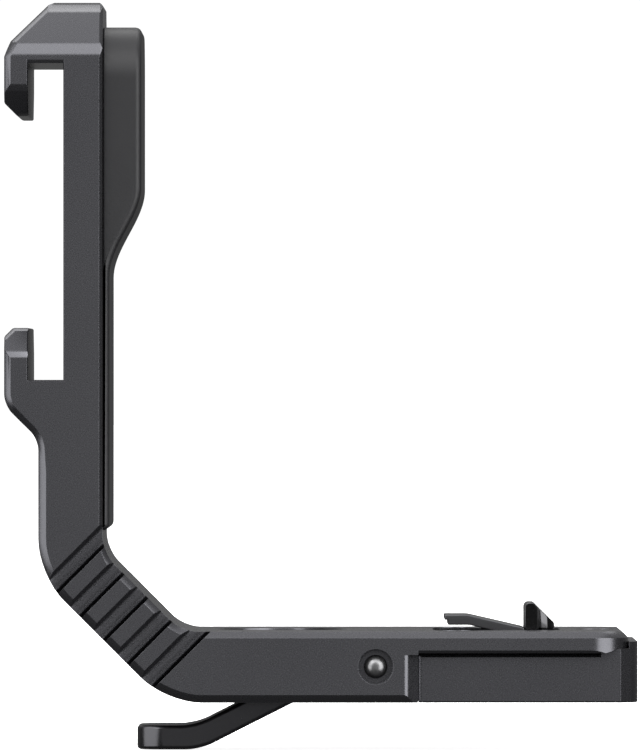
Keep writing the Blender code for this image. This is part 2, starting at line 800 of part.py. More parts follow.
def lever_outline():
    tilt = math.tan(LEVER_ANGLE)
    across = Vector((-math.sin(LEVER_ANGLE), math.cos(LEVER_ANGLE)))
    under = across * LEVER_RAISE
    over = across * (LEVER_RAISE + LEVER_THICKNESS)
    underside = -PADDLE_UNDERSIDE
    topside = underside + LEVER_THICKNESS
    lower_bend = under.x + (underside - under.y) / tilt
    upper_bend = over.x + (topside - over.y) / tilt
    return rounded([
        (under.x, under.y, 0),
        (over.x, over.y, 0),
        (upper_bend, topside, BEND_ROUND),
        (-PADDLE_REACH, topside, 0),
        (-PADDLE_REACH, underside, 0),
        (lower_bend, underside, BEND_ROUND + LEVER_THICKNESS),
    ])


def make_lever(pivot, material):
    half = LEVER_WIDTH / 2
    lever = extruded("release_lever", lever_outline(), -half, half, "XZ", pivot)
    for side in (-1, 1):
        tool = corner_tool(
            "paddle_corner", pivot, -PADDLE_REACH, side * half, PADDLE_CORNER,
            -PADDLE_UNDERSIDE - OVERRUN, -PADDLE_UNDERSIDE + LEVER_THICKNESS + OVERRUN,
            "XY", -1, side,
        )
        combine(lever, tool)
    soften(lever, LEVER_EDGE)
    hub_half = HUB_WIDTH / 2
    for side in (-1, 1):
        tool = rod(
            "washer_relief", pivot, (0, side * hub_half, 0), (0, side * (half + OVERRUN), 0),
            WASHER_RADIUS + WASHER_RELIEF,
        )
        combine(lever, tool)
    hub = rod("lever_hub", pivot, (0, -hub_half, 0), (0, hub_half, 0), HUB_RADIUS,
              steps=LARGE_STEPS)
    combine(lever, hub, "UNION")
    bar_half = BAR_WIDTH / 2
    bar = box("lever_bar", pivot, (0, -bar_half, -BAR_LOW),
              (BAR_REACH, bar_half, -BAR_LOW + BAR_THICKNESS))
    combine(lever, bar, "UNION")
    seat_x, seat_z = SPRING_X - LEVER_PIN_X, SPRING_SEAT_Z - LEVER_PIN_Z
    seat = rod(
        "spring_seat", pivot, (seat_x, 0, seat_z - LEVER_THICKNESS), (seat_x, 0, seat_z),
        SPRING_SEAT_RADIUS,
    )
    combine(lever, seat, "UNION")
    relief = rod(
        "seat_relief", pivot, (seat_x, 0, seat_z), (seat_x, 0, seat_z + LEVER_THICKNESS),
        SPRING_SEAT_RADIUS + SPRING_SEAT_RELIEF,
    )
    combine(lever, relief)
    bore = rod("lever_bore", pivot, (0, -half, 0), (0, half, 0), LEVER_BORE)
    combine(lever, bore)
    return keep(lever, material)


def make_pin(name, root, x, z, radius, end, edge, material):
    # a straight pin across the bracket with rounded ends
    upper = []
    for step in range(EDGE_SEGMENTS + 1):
        angle = math.pi / 2 * step / EDGE_SEGMENTS
        upper.append((
            radius - edge + edge * math.sin(angle),
            end - edge + edge * math.cos(angle),
        ))
    lower = [(across, -height) for across, height in reversed(upper)]
    profile = [(0, end)] + upper + lower + [(0, -end)]
    pin = turned(name, root, profile, (x, 0, z), (math.pi / 2, 0, 0))
    return keep(pin, material)


def make_washers(pivot_x, pivot_z, root, material):
    outer = LEVER_WIDTH / 2 + WASHER_GAP
    inner = outer - WASHER_THICKNESS
    for name, side in (("lever_washer_front", -1), ("lever_washer_rear", 1)):
        start, end = side * inner, side * outer
        washer = rod(name, root, (pivot_x, start, pivot_z), (pivot_x, end, pivot_z),
                     WASHER_RADIUS)
        hole = rod(name + "_hole", root, (pivot_x, start - side * OVERRUN, pivot_z),
                   (pivot_x, end + side * OVERRUN, pivot_z), LEVER_BORE)
        combine(washer, hole)
        keep(washer, material)


def least_gap(points, wire_radius):
    # least distance between turns, from each point to the chords half a turn on
    least = None
    for index, point in enumerate(points):
        later = points[index + COIL_STEPS // 2:]
        for start, end in zip(later, later[1:]):
            run = end - start
            share = max(0, min(1, (point - start).dot(run) / run.length_squared))
            gap = (point - start - run * share).length - wire_radius - wire_radius
            least = gap if least is None else min(least, gap)
    return least


def wire(name, points, wire_radius, anchor, place, material):
    curve = bpy.data.curves.new(name, "CURVE")
    curve.dimensions = "3D"
    curve.bevel_depth = wire_radius
    curve.bevel_resolution = 1
    curve.use_fill_caps = True
    spline = curve.splines.new("POLY")
    spline.points.add(len(points) - 1)
    for target, point in zip(spline.points, points):
        target.co = (*point, 1)
    print(name, "least gap between turns, mm:", round(least_gap(points, wire_radius) * 1000, 3))
    return keep(shape(name, curve, anchor, place, (0, 0, 0)), material)


def make_lever_spring(root, material):
    low = SPRING_SEAT_Z + SPRING_END_GAP + SPRING_WIRE_RADIUS
    count = round(SPRING_TURNS_COUNT * COIL_STEPS)
    points = []
    for step in range(count + 1):
        angle = math.tau * step / COIL_STEPS
        points.append(Vector((
            SPRING_COIL_RADIUS * math.cos(angle),
            SPRING_COIL_RADIUS * math.sin(angle),
            low + SPRING_PITCH * step / COIL_STEPS,
        )))
    wire("lever_spring", points, SPRING_WIRE_RADIUS, root, (SPRING_X, 0, 0), material)


def make_claw_springs(pivot, material):
    # each coil fills the space between the claw's web and the plate's ear
    count = round(CLAW_COIL_TURNS_COUNT * COIL_STEPS)
    inner = CLAW_WEB_WIDTH / 2 + CLAW_COIL_WEB_GAP + CLAW_WIRE_RADIUS
    outer = TRIP_WIDTH / 2 - EAR_THICKNESS - CLAW_COIL_EAR_GAP - CLAW_WIRE_RADIUS
    for name, side in (("claw_spring_front", -1), ("claw_spring_rear", 1)):
        start = math.tau / 4
        points = [Vector((-CLAW_LEG_REACH, side * outer, CLAW_LEG_RISE))]
        for step in range(count + 1):
            angle = start - math.tau * step / COIL_STEPS
            points.append(Vector((
                CLAW_COIL_RADIUS * math.cos(angle),
                side * (outer - (outer - inner) * step / count),
                CLAW_COIL_RADIUS * math.sin(angle),
            )))
        last = points[-1]
        points.append(Vector((last.x, last.y, -CLAW_LEG_FOOT)))
        wire(name, points, CLAW_WIRE_RADIUS, pivot, (0, 0, 0), material)


def make_tooth(pivot, material):
    outline = rounded([
        (-TOOTH_LEFT, TOOTH_BOTTOM, 0),
        (TOOTH_RIGHT, TOOTH_BOTTOM, 0),
        (TOOTH_RIGHT, TOOTH_RAMP - TOOTH_RIGHT, TOOTH_RIGHT_ROUND),
        (TOOTH_RAMP - TOOTH_TOP, TOOTH_TOP, TOOTH_RIGHT_ROUND),
        (-TOOTH_LEFT, TOOTH_TOP, TOOTH_LEFT_ROUND),
    ])
    half = TOOTH_WIDTH / 2
    tooth = extruded("claw_tooth", outline, -half, half, "XZ", pivot)
    for side in (-1, 1):
        tool = corner_tool(
            "tooth_corner", pivot, TOOTH_RIGHT, side * half, TOOTH_SIDE_ROUND,
            TOOTH_BOTTOM - OVERRUN, TOOTH_TOP + OVERRUN, "XY", 1, side,
        )
        combine(tooth, tool)
    soften(tooth, TOOTH_EDGE, FINE_SEGMENTS)
    web_half = CLAW_WEB_WIDTH / 2
    web = box("claw_web", pivot, (-CLAW_WEB_HALF, -web_half, 0),
              (CLAW_WEB_HALF, web_half, CLAW_WEB_TOP))
    hub = rod("claw_hub", pivot, (0, -web_half, 0), (0, web_half, 0), CLAW_HUB_RADIUS)
    leg_half = CLAW_LEG_WIDTH / 2
    leg = box("claw_leg", pivot, (-CLAW_LEG_LEFT, -leg_half, -CLAW_LEG_DROP),
              (CLAW_LEG_RIGHT, leg_half, 0))
    for tool in (web, hub, leg):
        combine(tooth, tool, "UNION")
    bore = rod("claw_bore", pivot, (0, -half, 0), (0, half, 0),
               CLAW_PIN_RADIUS + PIN_CLEARANCE)
    combine(tooth, bore)
    return keep(tooth, material)


def make_trip_plate(pivot, material):
    fall = math.tan(TRIP_SLOPE_ANGLE)
    drop = TRIP_THICKNESS / math.cos(TRIP_SLOPE_ANGLE)
    end_top = TRIP_TOP - (TRIP_BEND - TRIP_RIGHT) * fall
    under = TRIP_TOP - TRIP_THICKNESS
    bend = TRIP_BEND - (drop - TRIP_THICKNESS) / fall
    outline = [
        (-TRIP_LEFT, TRIP_TOP),
        (-TRIP_LEFT, TRIP_TOP - TRIP_THICKNESS / 2),
        (-TRIP_LEFT + TRIP_STEP, TRIP_TOP - TRIP_THICKNESS / 2),
        (-TRIP_LEFT + TRIP_STEP, under),
        (-bend, under),
        (-TRIP_RIGHT, end_top - drop),
        (-TRIP_RIGHT, end_top),
        (-TRIP_BEND, TRIP_TOP),
    ]
    half = TRIP_WIDTH / 2
    plate = extruded("trip_plate", outline, -half, half, "XZ", pivot)
    soften(plate, TRIP_EDGE, FINE_SEGMENTS)
    root_top = TRIP_TOP - (TRIP_BEND - TRIP_RIGHT - EAR_ROOT) * fall
    reach = EAR_RADIUS * math.sqrt(0.5)
    ear = [
        (-TRIP_RIGHT - EAR_ROOT, root_top - TRIP_EDGE * 2),
        (-TRIP_RIGHT - TRIP_EDGE, end_top - TRIP_EDGE * 2),
        (reach, reach),
        (-reach, -reach),
    ]
    for side in (-1, 1):
        low, high = sorted((side * (half - EAR_THICKNESS), side * half))
        combine(plate, extruded("trip_ear", ear, low, high, "XZ", pivot), "UNION")
        eye = rod("ear_eye", pivot, (0, low, 0), (0, high, 0), EAR_RADIUS)
        combine(plate, eye, "UNION")
    bore = rod("ear_bore", pivot, (0, -half - OVERRUN, 0), (0, half + OVERRUN, 0),
               CLAW_PIN_RADIUS + PIN_CLEARANCE)
    combine(plate, bore)
    return keep(plate, material)


def build():
    clear_scene()
    new_collection(PARTS)
    new_collection(TOOLS)
    root = new_anchor("bracket", (-END_SCREW_X, 0, 0))
    lever_pivot = new_anchor("lever_pivot", (LEVER_PIN_X, 0, LEVER_PIN_Z), root)
    claw_pivot = new_anchor("claw_pivot", (CLAW_PIN_X, 0, CLAW_PIN_Z), root)

    alloy = finish("satin_alloy", (0.064, 0.064, 0.069), 0.7, 0.45)
    moulding = finish("pad_moulding", (0.051, 0.051, 0.054), 0.0, 0.6)
    foot_alloy = finish("foot_alloy", (0.058, 0.058, 0.063), 0.7, 0.45)
    black_steel = finish("black_steel", (0.02, 0.02, 0.022), 0.8, 0.3)
    trip_steel = finish("grey_steel", (0.064, 0.064, 0.068), 0.8, 0.4)
    bright_steel = finish("bright_steel", (0.6, 0.6, 0.62), 1.0, 0.25)
    screw_steel = finish("screw_steel", (0.12, 0.12, 0.125), 0.9, 0.35)
    spring_steel = finish("spring_steel", (0.45, 0.45, 0.46), 1.0, 0.3)
    nylon = finish("natural_nylon", (0.6, 0.58, 0.52), 0.0, 0.45)

    frame = make_frame(root, alloy)
    pad = make_pad(root, moulding)
    foot = make_foot(root, foot_alloy)
    make_deck_screws(root, screw_steel, frame, foot)
    make_pad_screws(root, screw_steel, frame, pad)
    make_cap(root, alloy)

    make_tooth(claw_pivot, black_steel)
    make_trip_plate(claw_pivot, trip_steel)
    make_pin("claw_pin", root, CLAW_PIN_X, CLAW_PIN_Z, CLAW_PIN_RADIUS,
             CLAW_PIN_HALF, PIN_EDGE, bright_steel)
    make_claw_springs(claw_pivot, spring_steel)

    make_lever(lever_pivot, black_steel)
    make_pin("lever_pin", root, LEVER_PIN_X, LEVER_PIN_Z, LEVER_PIN_RADIUS,
             HALF_WIDTH - LEVER_PIN_INSET, LEVER_PIN_EDGE, bright_steel)
    make_washers(LEVER_PIN_X, LEVER_PIN_Z, root, nylon)
    make_lever_spring(root, spring_steel)
    bpy.context.view_layer.update()


build()
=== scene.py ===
import math

import bmesh
import bpy
from mathutils import Matrix, Vector


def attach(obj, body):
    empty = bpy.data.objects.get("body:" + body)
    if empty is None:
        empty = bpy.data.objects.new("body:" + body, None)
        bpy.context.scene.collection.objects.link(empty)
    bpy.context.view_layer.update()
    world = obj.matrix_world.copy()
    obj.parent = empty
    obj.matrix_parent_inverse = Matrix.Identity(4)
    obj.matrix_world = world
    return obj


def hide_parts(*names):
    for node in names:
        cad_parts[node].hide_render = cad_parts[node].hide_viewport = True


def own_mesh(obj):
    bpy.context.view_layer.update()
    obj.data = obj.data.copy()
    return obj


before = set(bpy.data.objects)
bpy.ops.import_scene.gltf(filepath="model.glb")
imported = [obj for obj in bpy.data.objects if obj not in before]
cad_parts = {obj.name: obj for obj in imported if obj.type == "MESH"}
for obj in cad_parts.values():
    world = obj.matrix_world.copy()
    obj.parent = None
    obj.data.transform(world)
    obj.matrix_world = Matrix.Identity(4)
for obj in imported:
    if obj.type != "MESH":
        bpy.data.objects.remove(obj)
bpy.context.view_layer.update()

# Sizes are in millimetres: X from a point near the middle of the foot, Y from the
# middle of the bracket, Z from the foot's underside. finishPiece turns them into metres.
footMiddle = -4.4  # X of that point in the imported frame
leverPin = (-8.67, 0, 2.11)  # middle of the pin that the release lever turns on
leverPinRadius = 0.66  # of the pin, the lever's bore and the washers' holes
clawPin = (1.2, 0, 2.9)  # middle of the pin that the claw turns on
clawHole = 0.43  # radius of what the claw's pin goes through
springFoot = (-14.2, 0, 0)  # foot of the upright line that the lever's spring and cap share

# Drawing and cutting. A cutter reaches a little past what it cuts.
meshing = {"weld": 0.0005, "poleWeld": 0.0002, "planeReach": 0.0001,  # millimetres
           "smoothBelow": 32, "softenAbove": 25, "rimAbove": 40}  # degrees between two faces


def spot(u, v, w, plane):  # u and v lie in the plane, w stands on it
    if plane == "XZ":
        return Vector((u, w, v))
    if plane == "YZ":
        return Vector((w, u, v))
    return Vector((u, v, w))


def roundCorner(bm, start, end, radius, segments=8):
    def misfit(edge):
        a, b = (vert.co for vert in edge.verts)
        return min((a - start).length + (b - end).length, (b - start).length + (a - end).length)
    edge = min(bm.edges, key=misfit)
    offset = radius * math.tan(edge.calc_face_angle() / 2)
    bmesh.ops.bevel(bm, geom=[edge], offset=offset, offset_type="OFFSET", segments=segments,
                    profile=0.5, affect="EDGES", clamp_overlap=False, material=-1)


def prism(corners, low, high, plane="XZ", segments=8):
    # corners are (u, v), or (u, v, radius) for a rounded one
    bm = bmesh.new()
    face = bm.faces.new([bm.verts.new(spot(c[0], c[1], low, plane)) for c in corners])
    grown = bmesh.ops.extrude_face_region(bm, geom=[face])["geom"]
    moved = [v for v in grown if isinstance(v, bmesh.types.BMVert)]
    bmesh.ops.translate(bm, vec=spot(0, 0, high - low, plane), verts=moved)
    bmesh.ops.recalc_face_normals(bm, faces=bm.faces)
    for u, v, radius in [c for c in corners if len(c) == 3]:
        roundCorner(bm, spot(u, v, low, plane), spot(u, v, high, plane), radius, segments)
    return bm


def block(low, high):
    bm = bmesh.new()
    bmesh.ops.create_cube(bm, size=1)
    low, high = Vector(low), Vector(high)
    bmesh.ops.scale(bm, vec=high - low, verts=bm.verts)
    bmesh.ops.translate(bm, vec=(low + high) / 2, verts=bm.verts)
    return bm


def turned(profile, centre, direction=(0, 0, 1), steps=48, ring=False):
    # profile is (radius, height) along the outside; a ring's profile closes on itself
    bm = bmesh.new()
    verts = [bm.verts.new((radius, 0, height)) for radius, height in profile]
    edges = [bm.edges.new(pair) for pair in zip(verts, verts[1:])]
    if ring:
        edges.append(bm.edges.new((verts[-1], verts[0])))
    bmesh.ops.spin(bm, geom=verts + edges, cent=(0, 0, 0), axis=(0, 0, 1), angle=math.tau,
                   steps=steps, use_merge=True, use_duplicate=False)
    bmesh.ops.remove_doubles(bm, verts=bm.verts, dist=meshing["poleWeld"])
    bmesh.ops.recalc_face_normals(bm, faces=bm.faces)
    turn = Vector(direction).to_track_quat("Z", "Y").to_matrix().to_4x4()
    bmesh.ops.transform(bm, matrix=Matrix.Translation(centre) @ turn, verts=bm.verts)
    return bm


def rod(start, end, radius, steps=48):
    start, end = Vector(start), Vector(end)
    run = (end - start).length
    profile = [(0, 0), (radius, 0), (radius, run), (0, run)]
    return turned(profile, start, end - start, steps)


def joined(parts):
    bm = bmesh.new()
    for part in parts:
        mesh = bpy.data.meshes.new("joining")
        part.to_mesh(mesh)
        part.free()
        bm.from_mesh(mesh)
        bpy.data.meshes.remove(mesh)
    return bm


def worked(bm, change):
    # puts the mesh on a passing object, lets change() add a modifier, and takes the result
    mesh = bpy.data.meshes.new("working")
    bm.to_mesh(mesh)
    bm.free()
    item = bpy.data.objects.new("working", mesh)
    bpy.context.scene.collection.objects.link(item)
    extra = change(item)
    bpy.context.view_layer.update()
    shaped = item.evaluated_get(bpy.context.evaluated_depsgraph_get())
    result = bmesh.new()
    result.from_mesh(shaped.to_mesh())
    shaped.to_mesh_clear()
    for used in [item] + ([extra] if extra else []):
        data = used.data
        bpy.data.objects.remove(used)
        bpy.data.meshes.remove(data)
    return result


def carve(bm, tool, operation="DIFFERENCE"):
    mesh = bpy.data.meshes.new("tool")
    tool.to_mesh(mesh)
    tool.free()
    cutter = bpy.data.objects.new("tool", mesh)
    bpy.context.scene.collection.objects.link(cutter)

    def change(item):
        cut = item.modifiers.new("cut", "BOOLEAN")
        cut.operation = operation
        cut.solver = "EXACT"
        cut.object = cutter
        return cutter
    return worked(bm, change)


def softened(bm, widthOf, segments=4, profile=0.5):
    # widthOf gives each sharp edge its rounding, or nothing
    layer = bm.edges.layers.float.new("bevel_weight_edge")
    wanted = {}
    for edge in bm.edges:
        if edge.is_manifold and edge.calc_face_angle() > math.radians(meshing["softenAbove"]):
            width = widthOf(edge, (edge.verts[0].co + edge.verts[1].co) / 2)
            if width:
                wanted[edge] = width
    widest = max(wanted.values())
    for edge, width in wanted.items():
        edge[layer] = width / widest

    def change(item):
        edges = item.modifiers.new("edges", "BEVEL")
        edges.width = widest
        edges.segments = segments
        edges.profile = profile
        edges.limit_method = "WEIGHT"
        edges.use_clamp_overlap = False
    return worked(bm, change)


def rounded(bm, width, segments=3):
    # the same rounding on every outward edge
    return softened(bm, lambda edge, middle: width if edge.is_convex else 0, segments)


def softenRim(bm, belongs, width):
    # small rounding on the edges that a cut has left
    limit = math.radians(meshing["rimAbove"])
    rim = [e for e in bm.edges if e.is_manifold and e.calc_face_angle() > limit
           and e.is_convex and belongs(e.verts[0].co) and belongs(e.verts[1].co)]
    bmesh.ops.bevel(bm, geom=rim, offset=width, offset_type="OFFSET", segments=2,
                    profile=0.5, affect="EDGES", clamp_overlap=True, material=-1)


def sliceOff(bm, place, normal):
    cut = bmesh.ops.bisect_plane(bm, geom=[*bm.verts, *bm.edges, *bm.faces],
                                 dist=meshing["planeReach"], plane_co=place, plane_no=normal,
                                 clear_outer=True)
    rim = [part for part in cut["geom_cut"] if isinstance(part, bmesh.types.BMEdge)]
    bmesh.ops.holes_fill(bm, edges=rim)


def finishPiece(name, bm, material, body, node):
    bmesh.ops.remove_doubles(bm, verts=bm.verts, dist=meshing["weld"])
    toFrame = Matrix.Scale(0.001, 4) @ Matrix.Translation((footMiddle, 0, 0))
    bmesh.ops.transform(bm, matrix=toFrame, verts=bm.verts)
    mesh = bpy.data.meshes.new(name)
    bm.to_mesh(mesh)
    bm.free()
    mesh.shade_smooth()
    mesh.set_sharp_from_angle(angle=math.radians(meshing["smoothBelow"]))
    mesh.materials.append(material)
    piece = bpy.data.objects.new(name, mesh)
    bpy.context.scene.collection.objects.link(piece)
    even = piece.modifiers.new("even shading", "WEIGHTED_NORMAL")
    even.keep_sharp = True
    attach(piece, body)
    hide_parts(node)
    print("made", name, len(mesh.polygons), "faces")
    return piece


# Finishes: lengths in the looks are in millimetres, noise scales count per metre.
wornFacing = {"starts": 0.995, "full": 0.90}  # cosine between the true and the rounded normal
latheMarks = {"pitch": 0.00007, "height": 0.35}  # metres between rings, share of the bump


def addNode(tree, kind, links=(), inputs=(), **settings):
    # links are sockets that another node feeds, inputs are sockets that hold a value
    node = tree.nodes.new(kind)
    for name, value in settings.items():
        setattr(node, name, value)
    for name, source in dict(links).items():
        tree.links.new(source, node.inputs[name])
    for name, value in dict(inputs).items():
        node.inputs[name].default_value = value
    return node


def mixColours(tree, share, first, second):
    # a colour Mix node has its share in socket 0, its colours in 6 and 7, its result in 2
    mix = addNode(tree, "ShaderNodeMix", {0: share}, data_type="RGBA")
    for socket, tone in ((6, first), (7, second)):
        if isinstance(tone, tuple):
            mix.inputs[socket].default_value = (*tone, 1)
        else:
            tree.links.new(tone, mix.inputs[socket])
    return mix.outputs[2]


def turnedMarks(tree, where, height, centre, axis):
    # fine rings round the piece's own axis, on top of the grain
    shift = [-(centre[0] + footMiddle) / 1000, -centre[1] / 1000, -centre[2] / 1000]
    local = addNode(tree, "ShaderNodeMapping", where, {"Location": shift})
    across = [0 if letter == axis else 1 for letter in "XYZ"]
    flat = addNode(tree, "ShaderNodeVectorMath", {0: local.outputs[0]}, {1: across},
                   operation="MULTIPLY")
    reach = addNode(tree, "ShaderNodeVectorMath", {0: flat.outputs[0]}, operation="LENGTH")
    wave = addNode(tree, "ShaderNodeMath", {0: reach.outputs["Value"]},
                   {1: math.tau / latheMarks["pitch"]}, operation="MULTIPLY")
    ripple = addNode(tree, "ShaderNodeMath", {0: wave.outputs[0]}, operation="SINE")
    mixed = addNode(tree, "ShaderNodeMath", {0: ripple.outputs[0], 2: height},
                    {1: latheMarks["height"]}, operation="MULTIPLY_ADD")
    return mixed.outputs[0]


def finish(name, look):
    material = bpy.data.materials.new(name)
    material.use_nodes = True
    tree = material.node_tree
    shader = tree.nodes["Principled BSDF"]
    shader.inputs["Metallic"].default_value = look["metallic"]
    shader.inputs["Specular IOR Level"].default_value = look.get("specular", 0.5)
    where = {"Vector": addNode(tree, "ShaderNodeTexCoord").outputs["Object"]}
    broad = addNode(tree, "ShaderNodeTexNoise", where, {"Scale": look["mottleScale"], "Detail": 4.0})
    fine = addNode(tree, "ShaderNodeTexNoise", where, {"Scale": look["grainScale"], "Detail": 3.0})

    # colour: broad mottling, and a paler line along worn edges
    mottled = mixColours(tree, broad.outputs["Fac"], look["dark"], look["light"])
    soft = addNode(tree, "ShaderNodeBevel", inputs={"Radius": look["edge"] * 0.001}, samples=6)
    flat = addNode(tree, "ShaderNodeNewGeometry").outputs["Normal"]
    facing = addNode(tree, "ShaderNodeVectorMath", {0: soft.outputs[0], 1: flat},
                     operation="DOT_PRODUCT")
    worn = addNode(tree, "ShaderNodeMapRange", {"Value": facing.outputs["Value"]},
                   {"From Min": wornFacing["starts"], "From Max": wornFacing["full"],
                    "To Max": look["wear"]})
    rubbed = addNode(tree, "ShaderNodeMath", {0: worn.outputs[0], 1: broad.outputs["Fac"]},
                     operation="MULTIPLY")
    edged = mixColours(tree, rubbed.outputs[0], mottled, look["worn"])
    tree.links.new(edged, shader.inputs["Base Color"])

    # roughness moves a little with the fine grain
    rough = addNode(tree, "ShaderNodeMapRange", {"Value": fine.outputs["Fac"]},
                    {"To Min": look["roughness"] - look["roughSpread"],
                     "To Max": look["roughness"] + look["roughSpread"]})
    tree.links.new(rough.outputs[0], shader.inputs["Roughness"])

    height = fine.outputs["Fac"]
    if "rings" in look:
        height = turnedMarks(tree, where, height, *look["rings"])
    bump = addNode(tree, "ShaderNodeBump", {"Height": height, "Normal": soft.outputs[0]},
                   {"Strength": look["grainStrength"], "Distance": look["grainDepth"] * 0.001})
    tree.links.new(bump.outputs[0], shader.inputs["Normal"])
    return material


satinAlloy = finish("satinAlloy", {
    "dark": (0.060, 0.060, 0.066), "light": (0.070, 0.070, 0.076), "worn": (0.13, 0.13, 0.14),
    "metallic": 0.88, "roughness": 0.28, "roughSpread": 0.05, "mottleScale": 160.0,
    "grainScale": 9000.0, "grainStrength": 0.055, "grainDepth": 0.006, "edge": 0.02, "wear": 0.30,
})
footAlloy = finish("footAlloy", {
    "dark": (0.057, 0.057, 0.063), "light": (0.067, 0.067, 0.073), "worn": (0.12, 0.12, 0.13),
    "metallic": 0.88, "roughness": 0.28, "roughSpread": 0.05, "mottleScale": 190.0,
    "grainScale": 9500.0, "grainStrength": 0.055, "grainDepth": 0.006, "edge": 0.02, "wear": 0.30,
})
mouldedPad = finish("mouldedPad", {
    "dark": (0.010, 0.010, 0.011), "light": (0.013, 0.013, 0.014), "worn": (0.03, 0.03, 0.03),
    "metallic": 0.0, "specular": 0.25, "roughness": 0.46, "roughSpread": 0.06, "mottleScale": 220.0,
    "grainScale": 6500.0, "grainStrength": 0.5, "grainDepth": 0.010, "edge": 0.05, "wear": 0.2,
})
blackSteel = finish("blackSteel", {
    "dark": (0.050, 0.050, 0.052), "light": (0.062, 0.062, 0.064), "worn": (0.14, 0.14, 0.14),
    "metallic": 1.0, "roughness": 0.13, "roughSpread": 0.05, "mottleScale": 300.0,
    "grainScale": 7000.0, "grainStrength": 0.2, "grainDepth": 0.004, "edge": 0.04, "wear": 0.5,
})
leverSteel = finish("leverSteel", {
    "dark": (0.039, 0.039, 0.042), "light": (0.049, 0.049, 0.052), "worn": (0.09, 0.09, 0.095),
    "metallic": 0.95, "roughness": 0.25, "roughSpread": 0.05, "mottleScale": 220.0,
    "grainScale": 8000.0, "grainStrength": 0.3, "grainDepth": 0.005, "edge": 0.04, "wear": 0.4,
})
greySteel = finish("greySteel", {
    "dark": (0.050, 0.050, 0.053), "light": (0.060, 0.060, 0.063), "worn": (0.12, 0.12, 0.13),
    "metallic": 0.9, "roughness": 0.30, "roughSpread": 0.05, "mottleScale": 300.0,
    "grainScale": 7500.0, "grainStrength": 0.25, "grainDepth": 0.004, "edge": 0.04, "wear": 0.4,
})
springWire = finish("springWire", {
    "dark": (0.36, 0.36, 0.37), "light": (0.46, 0.46, 0.47), "worn": (0.5, 0.5, 0.5),
    "metallic": 1.0, "roughness": 0.3, "roughSpread": 0.05, "mottleScale": 500.0,
    "grainScale": 9000.0, "grainStrength": 0.15, "grainDepth": 0.003, "edge": 0.01, "wear": 0.0,
})
naturalNylon = finish("naturalNylon", {
    "dark": (0.55, 0.53, 0.47), "light": (0.64, 0.62, 0.56), "worn": (0.7, 0.68, 0.62),
    "metallic": 0.0, "roughness": 0.45, "roughSpread": 0.05, "mottleScale": 300.0,
    "grainScale": 5000.0, "grainStrength": 0.2, "grainDepth": 0.005, "edge": 0.03, "wear": 0.1,
})


turnedLooks = {
    "black": {"dark": (0.030, 0.030, 0.032), "light": (0.045, 0.045, 0.047),
              "worn": (0.2, 0.2, 0.2), "roughness": 0.33, "wear": 0.6},
    "bright": {"dark": (0.115, 0.115, 0.118), "light": (0.165, 0.165, 0.168),
               "worn": (0.4, 0.4, 0.4), "roughness": 0.34, "wear": 0.2},
    "alloy": {"dark": (0.058, 0.058, 0.064), "light": (0.070, 0.070, 0.076),
              "worn": (0.14, 0.14, 0.15), "roughness": 0.36, "wear": 0.4},
}


def turnedFinish(name, base, centre, axis):
    return finish(name, {**turnedLooks[base], "metallic": 0.9, "roughSpread": 0.05,
                         "mottleScale": 400.0, "grainScale": 9000.0, "grainStrength": 0.4,
                         "grainDepth": 0.003, "edge": 0.03, "rings": (centre, axis)})


# Main frame
frameSizes = {
    "halfWidth": 10.0, "deckTop": 4.17, "deckEnd": 6.15, "deckCorner": 2.2,
    "armInner": -24.66, "armOuter": -28.42, "top": 41.05, "topCut": 2.70,
    "shoeWall": -26.95, "lipInner": -29.02, "lipOuter": -30.42,
    "shoeLow": 18.90, "shoeHigh": 37.44, "mouthLow": 21.95, "mouthHigh": 34.36,
    "lowLipCut": 0.50, "highLipCut": 0.75, "lowFacet": 1.52, "highFacet": 1.60,
    "facetDepth": 1.1, "hookFoot": 17.42, "hookStep": 2.0, "hookRound": 1.6, "heelRound": 1.5,
    "innerCut": 4.63, "innerRound": 2.3, "outerCut": 7.47, "outerRound": 5.0,
}
frameEdges = {  # widths of the soft chamfers, then their profile and what decides where they go
    "side": 0.46, "inner": 0.38, "bend": 0.54, "ridge": 0.95, "arm": 0.20, "lip": 0.29,
    "lipCorner": 0.07, "slot": 0.22, "floor": 0.05, "rim": 0.05,
    "shoulder": 0.29, "bendBelow": 50, "fade": 0.95, "rimEnd": 5.9, "rimHalf": 8.5,
}


def frameEdgeWidth(edge, middle):
    s, e = frameSizes, frameEdges
    near = 0.05  # an edge this close to a face counts as on it
    if not edge.is_convex:
        return 0
    crossing = abs(edge.verts[0].co.y - edge.verts[1].co.y) > 0.5  # it runs front to back
    inShoe = s["shoeLow"] - near < middle.z < s["shoeHigh"] + near
    if inShoe and s["lipInner"] - near < middle.x < s["shoeWall"] + near:
        if middle.x < s["lipInner"] + near:
            return e["lipCorner"]
        plain = middle.x > s["shoeWall"] - near or middle.z < s["shoeLow"] + near
        return e["floor"] if plain else e["slot"]
    lowest, highest = s["mouthLow"] - s["lowFacet"], s["mouthHigh"] + s["highFacet"]
    onLips = middle.x < s["lipInner"] + s["facetDepth"] + near
    if onLips and lowest - near < middle.z < highest + near:
        return e["lipCorner"] if crossing or middle.x > s["lipInner"] - near else e["lip"]
    if middle.z > s["top"] - near:
        return e["arm"] if crossing else e["ridge"]
    atSide = abs(middle.y) > s["halfWidth"] - s["topCut"]
    if atSide and middle.x > s["armInner"] - near and middle.z > s["deckTop"] + 1:
        low = s["deckTop"] + s["innerCut"] - e["fade"]  # it gets narrower up the corner's bend
        share = min(1, max(0, (middle.z - low) / (2 * e["fade"])))
        return e["inner"] + (e["arm"] - e["inner"]) * share
    if edge.calc_face_angle() < math.radians(e["bendBelow"]):
        return e["bend"]
    inside = middle.x + middle.z > s["armInner"] + s["deckTop"] + s["innerCut"] - near
    return e["inner"] if inside and middle.z > s["deckTop"] - near else e["side"]


